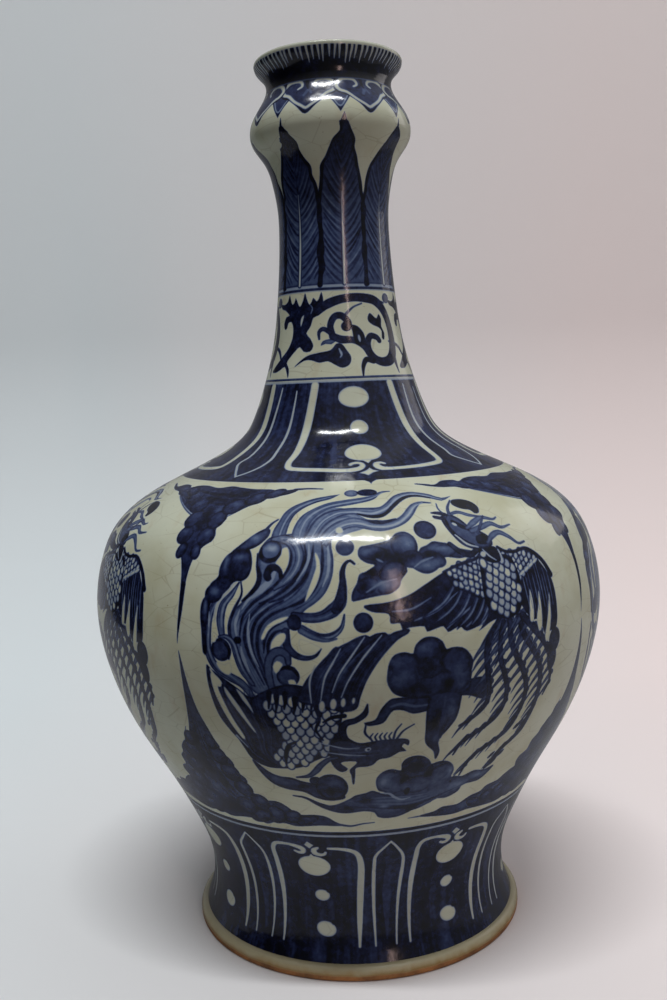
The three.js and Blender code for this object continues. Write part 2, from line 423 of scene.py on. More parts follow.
def within(outline, point):
    """Whether a point lies inside a closed outline, by counting the sides to its right."""
    a, b = outline, np.roll(outline, -1, 0)
    crosses = (a[:, 1] > point[1]) != (b[:, 1] > point[1])
    rise = np.where(crosses, b[:, 1] - a[:, 1], 1)
    crossing = a[:, 0] + (point[1] - a[:, 1]) * (b[:, 0] - a[:, 0]) / rise
    return bool(np.sum(crosses & (point[0] < crossing)) % 2)


class Canvas:
    """Cobalt painting on a strip of skin that repeats round the vase, as a lattice of ink density: 0 is
    bare glaze, 1 the thickest ink. x is mm round the vase at one radius, to the right of the front, and
    s is mm up the skin. Each cell of the mesh holds STEPS steps of the lattice each way."""

    def __init__(self, radius, left, repeats, cells, rows):
        self.radius, self.left, self.repeats, self.cells = radius, left, repeats, cells
        self.width = 2 * math.pi * radius / repeats
        self.pitch = self.width / (STEPS * cells)
        self.rows = rows
        between_rows = rows[:-1, None] + np.diff(rows)[:, None] * np.arange(STEPS) / STEPS
        self.s = np.append(between_rows.ravel(), rows[-1])
        self.narrowing = skin_radius(self.s) / radius
        self.ink = np.zeros((len(self.s), STEPS * cells))
        self.draw = np.random.default_rng(cells)

    def window(self, low, high):
        """The lattice's columns and rows inside a box, with x running on past the strip's ends."""
        first, last = np.floor((np.array([low[0], high[0]]) - self.left) / self.pitch).astype(int)
        rows = np.arange(np.searchsorted(self.s, low[1]), np.searchsorted(self.s, high[1]))
        return np.arange(first, last + 2), rows

    def lay(self, columns, rows, distance, tone, edge=None, rim=1.0):
        """Ink where the signed distance in mm is below zero, from edge tone to inner tone over the rim."""
        cover = np.clip(0.5 - distance / SOFT_EDGE, 0, 1)
        shade = tone if edge is None else tone + (edge - tone) * np.clip(1 + distance / rim, 0, 1)
        at = np.ix_(rows, columns % self.ink.shape[1])
        self.ink[at] += cover * (shade - self.ink[at])

    def band(self, low, high, tone):
        """A ring line of one tone from one distance up the skin to another."""
        cover = np.clip(0.5 + np.minimum(self.s - low, high - self.s) / RING_EDGE, 0, 1)[:, None]
        self.ink += cover * (tone - self.ink)

    def pool(self, low, high, share):
        """Deepens what is painted, by more and more of what it lacks from one distance to another. The
        share fades out in ink thinner than 0.4, so that bare glaze stays bare."""
        climb = share * np.clip((self.s - low) / (high - low), 0, 1)
        self.ink += climb[:, None] * np.minimum(1, self.ink / 0.4) * (1 - self.ink)

    def wash(self, tone, *places):
        """Soft pools or thin patches in what is painted, each (x, s, half width, half height): the ink goes
        towards the tone by the share exp(-distance squared), which fades out in ink thinner than 0.3."""
        for x, s, across, up in places:
            columns, rows = self.window((x - 2 * across, s - 2 * up), (x + 2 * across, s + 2 * up))
            a = (self.left + self.pitch * columns - x) / across
            b = (self.s[rows] - s)[:, None] / up
            at = np.ix_(rows, columns % self.ink.shape[1])
            share = np.exp(-a * a - b * b) * np.clip(self.ink[at] / 0.3, 0, 1)
            self.ink[at] += share * (tone - self.ink[at])

    def ground(self, low, high, tone, streak, seed):
        """A ground between two rings, with the brush's streaks running up and down it: smooth random values
        at three spacings round the vase, each a table that is blended along and up."""
        draw = np.random.default_rng(seed)
        rows = np.flatnonzero((self.s > low) & (self.s < high))
        marks = np.zeros((rows.size, self.ink.shape[1]))
        for share, spacing in ((0.4, 8), (0.35, 2.8), (0.25, 1.3)):
            knots = int(self.width / spacing)
            values = draw.random((4, knots))
            along = np.arange(self.ink.shape[1]) * knots / self.ink.shape[1]
            up = np.linspace(0, 2.999, rows.size)
            i, j = up.astype(int), along.astype(int)
            f, g = (up % 1)[:, None], along % 1
            f, g = f * f * (3 - 2 * f), g * g * (3 - 2 * g)
            near = values[:, j] * (1 - g) + values[:, (j + 1) % knots] * g
            marks += share * (near[i] * (1 - f) + near[i + 1] * f)
        self.ink[rows] = tone + streak * (marks - 0.6)

    def line(self, points, width=0.9, tone=DARK, edge=None):
        """A brush stroke along the curve. width is one number, or several that are spread along it. The
        distance is to the nearest side of the curve, less half the width there. It is worked out for five
        sides at a time, near them only, and x shrinks with the skin's radius."""
        p = curve(points)
        length = np.append(0, np.cumsum(np.hypot(*np.diff(p, axis=0).T)))
        widths = np.atleast_1d(np.array(width, float))
        w = np.interp(length, np.linspace(0, length[-1], len(widths)), widths) / 2
        reach = np.array([WIDEST_STRETCH, 1]) * (w.max() + STROKE_MARGIN)
        columns, rows = self.window(p.min(0) - reach, p.max(0) + reach)
        distance = np.full((rows.size, columns.size), FAR)
        for i in range(0, len(p) - 1, 5):
            a, b = p[i:-1][:5], p[i + 1:][:5]
            wa, wb = w[i:-1][:5, None, None], w[i + 1:][:5, None, None]
            some, those = self.window(np.minimum(a, b).min(0) - reach, np.maximum(a, b).max(0) + reach)
            if not those.size:
                continue
            k = self.narrowing[those][None, :, None]
            px = (self.left + self.pitch * some - a[:, :1, None]) * k
            py = self.s[those][None, :, None] - a[:, 1:, None]
            vx, vy = (b - a)[:, :1, None] * k, (b - a)[:, 1:, None]
            t = np.clip((px * vx + py * vy) / (vx**2 + vy**2 + 1e-9), 0, 1)
            near = (np.hypot(px - t * vx, py - t * vy) - wa - (wb - wa) * t).min(0)
            at = np.ix_(those - rows[0], some - columns[0])
            distance[at] = np.minimum(distance[at], near)
        if rows.size:
            self.lay(columns, rows, distance, tone, edge)

    def shape(self, points, tone=DEEP, edge=None, rim=1.2, smooth=True):
        """A closed outline filled with ink: the distance is to its nearest side, negative inside."""
        p = curve(points, 2.0, closed=True) if smooth else np.array(points, float)
        columns, rows = self.window(p.min(0) - SHAPE_MARGIN, p.max(0) + SHAPE_MARGIN)
        x = self.left + self.pitch * columns
        s = self.s[rows][:, None]
        k = self.narrowing[rows][:, None]
        nearest = np.full((rows.size, columns.size), 1e9)
        inner = np.zeros(nearest.shape, bool)
        for a, b in zip(p, np.roll(p, -1, 0)):
            px, py, vx, vy = (x - a[0]) * k, s - a[1], (b[0] - a[0]) * k, b[1] - a[1]
            t = np.clip((px * vx + py * vy) / (vx**2 + vy**2 + 1e-9), 0, 1)
            nearest = np.minimum(nearest, (px - t * vx)**2 + (py - t * vy)**2)
            if a[1] != b[1]:
                crosses = (s >= min(a[1], b[1])) & (s < max(a[1], b[1]))
                inner ^= crosses & (x < a[0] + (s - a[1]) * (b[0] - a[0]) / (b[1] - a[1]))
        self.lay(columns, rows, np.where(inner, -1, 1) * np.sqrt(nearest), tone, edge, rim)

    def disc(self, x, s, across, up=None, turn=0, tone=DEEP, edge=INK, rim=1.2):
        """A filled ellipse with its half widths, turned anticlockwise by degrees."""
        a, t = np.radians(np.arange(0, 360, 20)), math.radians(turn)
        c, d = across * np.cos(a), (up or across) * np.sin(a)
        self.shape(np.stack([x + c * math.cos(t) - d * math.sin(t), s + c * math.sin(t) + d * math.cos(t)],
                            -1), tone, edge, rim)

    def hairs(self, one, other, count, low, high, width=0.8):
        """Fine strokes side by side from one edge to the other, each of its own length, width and tone."""
        places = 17
        a, b = evenly(one, places), evenly(other, places)
        for i in range(count):
            share = (i + 0.2 + 0.6 * self.draw.random()) / count
            first, last = self.draw.integers(0, 5, 2)
            self.line((a + (b - a) * share)[first:places - last:2],
                      (0.2, width * (0.5 + self.draw.random()), 0.3),
                      low + (high - low) * self.draw.random())

    def stream(self, one, other, tone=MID):
        """A long feather between two edges: dark edges, with deep hairs and a pale stroke along it."""
        a, b = evenly(one, 30), evenly(other, 30)
        self.shape(np.vstack([a, b[::-1]]), tone, DARK, 1.3, smooth=False)
        self.hairs(one, other, 5, tone + 0.06, tone + 0.34)
        self.line((a + (b - a) * 0.56)[::3], (0.4, 1.3, 1.5, 0.4), tone - 0.18)

    def feather(self, points, widths, tone=MID):
        """A curled feather along a line: dark at both edges, a deep hair and a pale streak along it."""
        self.line(points, widths, tone, INK)
        places = 24
        p = evenly(points, places)
        way = np.gradient(p, axis=0)
        beside = np.stack([-way[:, 1], way[:, 0]], -1) / np.hypot(*way.T)[:, None]
        beside *= np.interp(np.linspace(0, 1, places), np.linspace(0, 1, len(widths)), widths)[:, None]
        for share, width, change in ((0.13, 0.9, -0.2), (-0.17, 0.6, 0.26)):
            self.line((p + share * beside)[2:-2:3], (0.2, width, width, 0.2), tone + change)

    def scales(self, outline, across, up, turn=0):
        """Pale scales inside an outline, in rows shifted by half a scale, each row over the one below it. A
        scale is an ellipse with a dark rim, of its own place, size and tone."""
        self.shape(outline, DARK, INK, 0.8)
        p = curve(outline, 2.0, closed=True)
        middle, reach = p.mean(0), np.ptp(p, axis=0).max()
        t = math.radians(turn)
        spin = np.array([[math.cos(t), math.sin(t)], [-math.sin(t), math.cos(t)]])
        number = int(reach / up / 1.6) + 1
        for i in range(-number, number + 1):
            for j in range(-number, number + 1):
                bend = 0.07 * np.array([across, up]) * self.draw.standard_normal(2)
                size = 0.95 + 0.12 * self.draw.random()
                tone = 0.03 + 0.2 * self.draw.random()
                x, s = middle + (np.array([(j + 0.5 * (i % 2)) * across, i * up]) + bend) @ spin
                if within(p, (x, s)):
                    self.disc(x, s, 0.53 * size * across, 0.86 * size * up, turn, tone, 1.05, 1.15)

    def block(self, first, last):
        """The lattice of mesh rows first to last, by mesh row and column, then lattice row and column."""
        inside_cell = np.arange(STEPS + 1)
        rows = STEPS * np.arange(first, last)[:, None] + inside_cell
        columns = (STEPS * np.arange(self.cells * self.repeats)[:, None] + inside_cell) % self.ink.shape[1]
        return self.ink[rows[:, None, :, None], columns[None, :, None, :]]


SKIN_TOP, REST_LOW, REST_HIGH = 0.93, 0.94, 0.99
BAND_MARGIN, SIDE_MARGIN = 0.02, 0.004


def painted(node, canvas, first, last, profile, rest, bands, corners=3):
    """A thrown piece whose skin holds rows first to last of a canvas. profile gives the skin's ring at a
    distance up it. rest is the other rings: the top joint, the lining and the bottom joint, whose last
    rings are crisp corners. Each skin face carries its cell of the lattice as four colours. A second map,
    for baking, unrolls the skin in bands up to SKIN_TOP, and the other rings in one strip above it."""
    columns = canvas.cells * canvas.repeats
    skin = [profile(s) for s in canvas.rows[first:last + 1]]
    tall, total = len(skin) - 1, len(skin) + len(rest)
    crisp = [0, tall, tall + 1, tall + 2, tall + 3, *range(total - corners, total)]
    obj = revolve(node + "_glazed", skin + rest, columns, crisp, canvas.left / canvas.radius - math.pi / 2)
    mesh = obj.data
    block = canvas.block(first, last)
    for row in range(STEPS + 1):
        shades = np.zeros((total, columns, 4), np.float32)
        shades[:tall] = block[:, :, row]
        mesh.attributes.new(f"row{row}", "FLOAT_COLOR", "FACE").data.foreach_set("color", shades.ravel())
    square = np.array([(0, 0), (1, 0), (1, 1), (0, 1)], np.float32)
    cells = np.broadcast_to(square, (total, columns, 4, 2))
    mesh.uv_layers.new(name="cell").data.foreach_set("uv", cells.ravel())
    ring, column = np.meshgrid(np.arange(total), np.arange(columns), indexing="ij")
    each = columns // bands
    across = ((column % each)[..., None] + square[:, 0]) / each
    climb = (ring[..., None] + square[:, 1]) / tall
    band = (column // each)[..., None]
    on_skin = ring[..., None] < tall
    above = (ring[..., None] - tall + square[:, 1]) / (total - tall)
    up = np.where(on_skin, (band + BAND_MARGIN + (1 - 2 * BAND_MARGIN) * climb) / bands * SKIN_TOP,
                  REST_LOW + (REST_HIGH - REST_LOW) * above)
    across = np.where(on_skin, SIDE_MARGIN + (1 - 2 * SIDE_MARGIN) * across,
                      (column[..., None] + square[:, 0]) / columns)
    bake = mesh.uv_layers.new(name="OFBake")
    bake.data.foreach_set("uv", np.stack([across, up], -1).astype(np.float32).ravel())
    return obj


def lining(high_seam, low_seam, count):
    """The rings of a thrown piece other than its skin: the top joint, the lining and the bottom joint."""
    heights_down = np.linspace(high_seam, low_seam + TENON + SLIP, count + 1)[1:-1]
    down = [(float(bore(z)), z) for z in heights_down]
    return tenon_top(high_seam) + down + rebate_bottom(low_seam)


def skin_ring(distance):
    """The skin's ring at a distance up it."""
    height = float(np.interp(distance, lengths, heights))
    return float(outside(height)), height


CRACKLE_SIZE, CRACK_SHARE = 13, 0.022
COBALT = [(0.0, IVORY), (0.25, colour(130, 144, 166)), (0.5, colour(72, 88, 122)),
          (0.75, colour(36, 46, 82)), (0.9, colour(16, 21, 48)), (1.04, colour(6, 7, 18))]


def glaze(name):
    """Clear crackled glaze over cobalt. The ink density is the sum over the cell's sixteen lattice places
    of each one's density times its nearness, max(0, 1 - |STEPS u - i|) both ways. It deepens an ivory body
    colour through pale and strong blue to a blue that is nearly black."""
    look = Look(name)
    cell = look.node("ShaderNodeUVMap", {"uv_map": "cell"}, {})
    near = []
    for side in range(2):
        step = STEPS * look.node("ShaderNodeSeparateXYZ", {}, {0: cell}, side)
        near.append([(1 - (step - i).maths("ABSOLUTE")).maths("MAXIMUM", 0) for i in range(STEPS + 1)])
    along, up = near
    weights = look.node("ShaderNodeCombineXYZ", {}, dict(enumerate(along[:3])))
    density = 0
    for i in range(STEPS + 1):
        named = {"attribute_name": f"row{i}"}
        three = look.node("ShaderNodeVectorMath", {"operation": "DOT_PRODUCT"},
                          {0: look.node("ShaderNodeAttribute", named, {}, "Color"), 1: weights}, "Value")
        fourth = look.node("ShaderNodeAttribute", named, {}, "Alpha")
        density = (three + fourth * along[3]) * up[i] + density
    brush = look.noise(3.1, 4, 0.6)
    washes = look.noise(11, 2)
    density = density * (0.56 + 0.62 * brush + 0.26 * washes)
    body = look.mix(IVORY, IVORY_SHADE, look.noise(38, 3).rise(0.35, 0.75))
    speck = look.noise(1.3, 1).rise(0.74, 0.79)
    body = look.mix(body, colour(120, 98, 66), 0.5 * speck)
    brown_share = look.noise(15, 4, 0.6, (1, 1, 0.55)).rise(0.56, 0.76)
    body = look.mix(body, colour(172, 148, 112), 0.34 * brown_share)
    cracks = look.node("ShaderNodeTexVoronoi", {"feature": "DISTANCE_TO_EDGE"},
                       {"Vector": look.place(0.6, 0.6, 1.5), "Scale": 1 / CRACKLE_SIZE, "Randomness": 1.0})
    crack = (1 - cracks.rise(0.0, CRACK_SHARE)) * look.noise(21, 2).rise(0.36, 0.56)
    tone = look.mix(body, colour(116, 100, 70), 0.27 * crack)
    for (start, low), (end, high) in zip(COBALT[:-1], COBALT[1:]):
        tone = look.mix(tone, high, ((density - start) / (end - start)).clamp())
    waves = 0.7 * look.noise(26, 1, stretch=(0.5, 0.5, 1)) + 0.3 * look.noise(5, 1)
    rough = 0.1 + 0.1 * washes
    return look.surface({"Base Color": tone, "Roughness": rough, "IOR": 1.45}, waves, bump_height=0.35)


def paint_lappets(c):
    """A wide panel with beads under a pair of scrolls, and a narrow pointed panel."""
    c.ground(7.9, 88.9, tone=0.93, streak=0.44, seed=4)
    c.line([(-48.6, 16.6), (-48, 35), (-47.4, 50), (-46.6, 68), (-46.2, 76), (-43.6, 80.4), (-38, 81.2),
            (-32.6, 80.8)], (1.2, 2, 2.6, 3.2, 3, 2.6, 1.8), 0.1)
    c.line([(-0.8, 16.6), (0, 35), (0.9, 50), (1.6, 65), (0.4, 74), (-3, 78), (-9, 79.6), (-15, 79.8)],
           (1.4, 3, 3.6, 3.8, 3.6, 2.8, 1.8), 0.08)
    c.line([(-35, 80.7), (-31, 79.8), (-28.6, 78), (-29.2, 75.9), (-31.4, 75.4), (-33.4, 76.4)],
           (2, 2.8, 3.5, 3, 2.2, 1.6), 0.06, 0.15)
    c.line([(-20.6, 80), (-22.8, 78.2), (-22.5, 75.9), (-20, 74.7), (-17.6, 75.2), (-16.7, 76.8)],
           (1.8, 3, 3.5, 2.6, 2.2, 1.4), 0.06, 0.15)
    c.shape([(-25.5, 84.6), (-22.3, 81.9), (-25, 79.2), (-27.4, 81.9)], 0.1, smooth=False)
    c.disc(-24.4, 65.8, 9.2, 7.6, 0, 0.02, 0.15)
    c.shape([(-27, 72), (-24.9, 75), (-22.6, 72)], 0.06, smooth=False)
    c.disc(-22.2, 45.2, 4.6, 3.6, 0, 0.05, 0.2)
    c.disc(-17.6, 48, 1.8, 1.2, 0, INK, INK)
    c.disc(-20.8, 25.6, 6.2, 4.2, -8, 0.03, 0.2)
    c.disc(-15.6, 29.4, 2.2, 1.6, 0, INK, INK)
    c.line([(8.8, 16.6), (8.5, 45), (8.8, 68), (9.8, 74), (13.5, 79), (17, 83.4)], (1, 1.8, 2.2, 2, 1.2),
           0.1)
    c.line([(17, 83.4), (20.5, 78.6), (24, 72.4), (24.9, 66), (24.5, 55), (23.2, 38), (21.4, 16.6)],
           (1.2, 1.8, 2.2, 1.8, 1.4, 1), 0.1)
    c.line([(16, 20), (16.4, 45), (16, 70)], (1, 5, 1), 0.8)
    c.band(88.7, 90.3, 0.22)


FOOT_ROWS = 68
foot_rows = skin_rows(RING_SEAM, FOOT_SEAM, FOOT_ROWS)
foot_canvas = Canvas(radius=100, left=-50.5, repeats=8, cells=75, rows=foot_rows)
paint_lappets(foot_canvas)
down_to_ledge = [(float(inside(z)), z) for z in np.linspace(FOOT_SEAM, LEDGE, 13)[1:]]
foot_lining = [*tenon_top(FOOT_SEAM), *down_to_ledge, (RECESS_RADIUS, LEDGE), *rebate_bottom(RING_SEAM)]
foot_piece = painted("splayed_foot", foot_canvas, 0, FOOT_ROWS, skin_ring, foot_lining, bands=4, corners=5)
painted_glaze = glaze("clear glaze over cobalt")
finish_piece(foot_piece, "cobalt_ground", "splayed_foot", painted_glaze)

# Belly: lower and upper body
# The two widest thrown sections, luted at the widest place. Four round medallions, each with a pair of
# phoenixes among clouds, are painted across the seam, with cloud-filled corners between them.


def paint_corner_clouds(c):
    """Clouds that fill the corners between two medallions, joined by a thin stem."""
    c.shape([(-34, 298.8), (-48, 297), (-55, 298.5), (-70, 298.8), (-82, 300), (-93, 301), (-105, 299),
             (-120, 300.5), (-131, 300), (-140, 297.5), (-144, 299.3), (-155, 299.5), (-164, 296.5),
             (-177, 299), (-170, 295.8), (-159, 293.5), (-149, 292.7), (-142, 290), (-131, 288.8),
             (-124.5, 287.3), (-122, 283), (-114, 281.3), (-107, 279.5), (-103.5, 276), (-104.5, 270),
             (-101, 266.5), (-101.5, 260), (-97, 256), (-94, 251), (-91.5, 246), (-89.5, 238), (-88.6, 225),
             (-89.4, 214), (-89.8, 207), (-88.4, 214), (-86.6, 225), (-86, 240), (-84, 250), (-80, 256),
             (-76, 259), (-75.3, 262.5), (-77, 267), (-73.8, 273), (-75.5, 278.5), (-71, 280), (-66, 282),
             (-60, 285.4), (-56, 289), (-50, 291), (-40, 293.8), (-35, 296.3)], 0.84, INK)
    c.line([(-36, 298.3), (-26, 298.9), (-15.5, 298.3)], (1.9, 1.3, 0.8))
    c.line([(-168, 296.3), (-172, 297.4), (-178, 298.6)], (1.8, 1.3, 0.8))
    c.hairs([(-40, 297), (-80, 299), (-120, 299), (-160, 297)],
            [(-56, 290), (-80, 272), (-102, 274), (-150, 294)], 20, 0.72, 1, 1.6)
    c.wash(0.68, (-112, 288, 7, 4), (-130, 295, 9, 2.6), (-62, 291, 8, 3), (-83, 280, 6, 4),
           (-99, 279, 5, 4), (-82, 266, 4, 4), (-93, 262, 4, 5), (-146, 296, 6, 2))
    c.wash(0.99, (-90, 292, 12, 4), (-90, 272, 4, 9), (-120, 293, 7, 3), (-74, 294, 8, 3))
    c.line([(-87.6, 236), (-87.8, 224), (-89, 213)], (3, 2.4, 1), INK, INK)
    c.shape([(-89.3, 203.4), (-89.2, 196), (-89.8, 182), (-91.4, 170), (-94, 160), (-98, 152), (-103, 150),
             (-108, 145), (-109.5, 141), (-113.5, 137.4), (-114, 131.5), (-119.5, 128.5), (-120.5, 124.5),
             (-118.8, 121), (-122, 120), (-128.3, 116.6), (-131.5, 114.3), (-141, 113), (-144.5, 109.7),
             (-152, 108.5), (-157.5, 105.8), (-162, 104), (-173, 104.7), (-178, 102.5), (-190, 100.5),
             (-177, 98.3), (-162, 96.8), (-150, 97.5), (-139, 96.6), (-120, 95.3), (-108, 97), (-96, 95.5),
             (-84, 97.3), (-73, 97.8), (-65.4, 95.3), (-57, 97.8), (-49, 97.4), (-41.5, 96.2), (-26, 97.8),
             (-10, 98), (-14.6, 101.2), (-20, 105), (-27.7, 106.2), (-38.5, 106), (-45.4, 112), (-51, 115),
             (-61, 115), (-64.6, 119), (-69.2, 121.5), (-66.2, 128.5), (-67.7, 132), (-72, 135),
             (-70.8, 140), (-73, 144.5), (-77.7, 147.4), (-76.2, 151), (-78, 155), (-80.5, 163),
             (-83.6, 172), (-86, 185), (-87.6, 196)], 0.8, INK)
    c.hairs([(-84, 170), (-76, 140), (-68, 118), (-48, 110), (-28, 105)],
            [(-90, 166), (-96, 140), (-88, 112), (-66, 100), (-34, 98.5)], 16, 0.66, 0.96, 1.6)
    c.hairs([(-94, 166), (-108, 140), (-118, 118), (-140, 110), (-162, 103.6)],
            [(-91, 160), (-98, 132), (-104, 108), (-126, 99), (-160, 98)], 14, 0.66, 0.96, 1.6)
    c.wash(0.66, (-60, 106, 9, 4.5), (-46, 101, 8, 2.5), (-130, 107, 10, 4), (-152, 102, 9, 2.6),
           (-76, 114, 7, 5), (-113, 114, 7, 5), (-75, 128, 5, 6), (-112, 130, 5, 6), (-80, 144, 5, 5),
           (-103, 144, 4, 4), (-94, 120, 7, 6))
    c.wash(0.98, (-92, 134, 5, 8), (-88, 105, 10, 4), (-67, 108, 4, 6), (-120, 105, 5, 5), (-94, 152, 4, 6),
           (-85, 124, 3, 6), (-104, 122, 3, 6))
    stem = -89.5
    for away, s, across, up in (
            (56, 101.6, 9, 3.4), (46, 103.6, 7, 5), (34, 104, 8, 7), (22, 101.4, 10, 5),
            (26, 112.6, 7, 6.4), (14, 108, 8, 7), (18, 122, 6.6, 6.6), (13.6, 133.4, 6.6, 6.8),
            (9.6, 144.6, 6, 6.6), (7.4, 153, 4, 5), (5, 253, 3.4, 4.6), (7.6, 262, 5.6, 5.8),
            (9, 272.6, 6.2, 6.6), (15, 283, 8, 6.4), (28, 290, 8, 5.4), (40, 294.6, 8, 4)):
        for side in (-1, 1):
            c.disc(stem + side * away, s, across, up, 20 * side, 0.84, INK, 1.7)
            c.wash(0.66, (stem + side * (away + 0.1 * across), s + 0.3 * up, 0.5 * across, 0.4 * up))
    c.line([(-13, 99), (-4, 97.6), (4, 99), (12, 99.6)], (1.8, 1.4, 1, 0.6), DEEP)
    c.line([(-190, 100.4), (-197, 100.2)], (1.2, 0.5), DEEP)


def paint_tail_bundle(c):
    """The bundle of blue tail feathers that rises from the lower bird's back, with its flowing strokes."""
    c.shape([(-41, 262), (-30, 264), (-20, 266), (-9, 264.6), (-7.6, 256), (-6.6, 250), (-7, 243),
             (-9, 237), (-12, 232.4), (-16, 229), (-20.5, 226), (-24, 222), (-28, 217), (-30, 211),
             (-28, 206), (-29, 200), (-26, 194), (-30, 188), (-40, 184), (-48, 186), (-52, 194), (-55, 200),
             (-57.6, 208), (-58.6, 214), (-58.8, 219), (-56.5, 225), (-51, 230.4), (-47, 234), (-44.4, 239),
             (-44, 243), (-45, 248), (-45.8, 254)], 0.5, DARK, 1.5)
    c.hairs([(-47, 188), (-54, 202), (-57, 216), (-50, 228), (-38, 236), (-28, 250), (-28, 264)],
            [(-34, 188), (-38, 200), (-41, 213), (-34, 222), (-20, 228), (-9, 240), (-9, 264)], 26, 0.4,
            0.78, 0.9)
    for flow in ([(-53.4, 239), (-52.6, 233), (-56, 226), (-58.4, 219), (-58, 212.6), (-55, 205),
                  (-51, 196), (-47, 189)],
                 [(-34, 233), (-41, 229), (-48, 222), (-50.4, 214), (-49, 206), (-45.6, 198), (-42, 190)],
                 [(-31, 230.6), (-38, 227), (-44.4, 221), (-47, 213), (-46, 205), (-43, 197.4),
                  (-40.6, 190)],
                 [(-30, 227), (-37, 223.8), (-42.4, 218.4), (-44, 212), (-43.6, 205), (-41.4, 198),
                  (-39.6, 191)],
                 [(-22, 259), (-20.6, 252), (-22, 246), (-26, 240), (-31.4, 235), (-37, 231.4), (-43, 229)],
                 [(-17, 257), (-17.8, 249), (-20.8, 241), (-26, 235.4), (-32, 231.6), (-38, 229.6)],
                 [(-28.6, 256), (-28.2, 250.6), (-30.4, 243.6), (-35, 238), (-41, 233), (-47, 228.6),
                  (-51.6, 222), (-53, 214)],
                 [(-12.6, 260), (-12, 251), (-12.6, 244), (-15.4, 237), (-20, 231.4), (-26, 228.4),
                  (-33, 226)], [(-41, 206), (-40.2, 212), (-37.4, 217.4), (-32, 220.4), (-27.6, 221.6)],
                 [(-38.6, 203), (-38.6, 210), (-35.4, 215.4), (-30.6, 217)]):
        c.line(flow, (0.7, 1.6, 1.9, 1.5, 0.8), 0.9)
    for pale in ([(-23.2, 255), (-23, 250), (-25.2, 244.6), (-29.4, 239.4), (-35, 235)],
                 [(-53, 226), (-55.2, 219), (-54.6, 212)],
                 [(-19.4, 258), (-19, 251), (-20.8, 245.6), (-24.6, 240)],
                 [(-9.6, 258), (-8.8, 250), (-9.4, 243), (-12, 237)],
                 [(-43.6, 235), (-48.6, 231), (-52, 226)],
                 [(-47.8, 224), (-48.6, 216), (-47.4, 207), (-44, 199)]):
        c.line(pale, (0.4, 1.5, 1.3, 0.5), 0.27)


def paint_tail_streams(c):
    """The tips of the tail feathers, which sweep over the medallion's top to the right."""
    c.shape([(-24, 260), (-8, 260), (2, 263.6), (10, 266), (14, 270), (8, 275), (-2, 281), (-12, 279),
             (-21, 272)], 0.38, 0.5)
    c.hairs([(-24, 260), (-20, 270), (-12, 278), (0, 279)], [(-9, 260), (-6, 266), (0, 270), (12, 271)], 16,
            0.3, 0.62)
    c.stream([(-40.6, 258), (-40.4, 266), (-38.6, 272), (-37, 278), (-33.5, 282.5), (-28, 286),
              (-20, 289.5), (-9, 291.8)],
             [(-33, 258), (-32.4, 266), (-31.6, 272), (-29.5, 277.4), (-25, 282), (-18, 286), (-9, 288.8),
              (-3, 292.6)], 0.54)
    c.stream([(-29.4, 258), (-29.3, 265), (-28, 271), (-25, 276.6), (-18, 281.8), (-10, 285.5), (0, 287.4),
              (9.5, 288.6), (18.8, 290.2), (23, 292.6), (27, 293.8), (32.6, 293.6)],
             [(-21.8, 258), (-21.4, 264), (-19.6, 271), (-15, 277), (-8, 281), (-0.5, 282.4), (7.2, 283.8),
              (15, 285.4), (20.3, 287.5), (24, 291), (28, 292.6), (32, 293)], 0.48)
    c.stream([(-22, 262), (-18.5, 271), (-12, 277.7), (-4.3, 279.9), (7.2, 280.6), (15, 279.6), (21, 279.8),
              (26.5, 283.5), (32.6, 288.5), (40.3, 291.2), (48, 291.2), (58, 288.3), (64.5, 284.2),
              (72.7, 284.9)],
             [(-15, 262), (-11, 269), (-4, 274), (3, 276), (8, 275.3), (13.4, 273.4), (20.3, 273),
              (25, 275.2), (29.5, 279.2), (35.7, 284.2), (41.8, 286.9), (49.5, 287.2), (58, 284.2),
              (64, 281.8), (70, 283.8)], 0.42)
    c.line([(7.5, 276), (13.4, 274), (20.3, 273.6), (25, 275.8), (29.5, 279.8), (35.7, 284.6),
            (41.8, 287.4), (49, 287.6), (57, 285)], (0.8, 2.4, 2, 2.2, 2.2, 1.8, 1), INK)
    c.stream([(-15, 260), (-10, 267), (-4, 271), (3, 273.5), (9.5, 272.6), (15, 269.6), (21.8, 269),
              (29.5, 270.8), (34.2, 274), (38.8, 278.5), (43.4, 281.6), (49.5, 282.6), (55.7, 281.2)],
             [(-10, 256), (-6, 262), (0, 266), (6, 267), (10.3, 265.8), (18.8, 263.9), (26.5, 265),
              (34.2, 268), (40.3, 273), (45, 278.3), (48.8, 281), (55, 280.4)], 0.38)
    c.line([(12, 271.4), (16, 270), (22, 269.4), (29, 271)], (1, 3, 2.2, 1), 0.86)
    c.shape([(-5, 267), (-2.4, 267.4), (-1, 264.6), (-3, 263.4), (-5.4, 264.4)], 0.04, 0.16, 0.6)


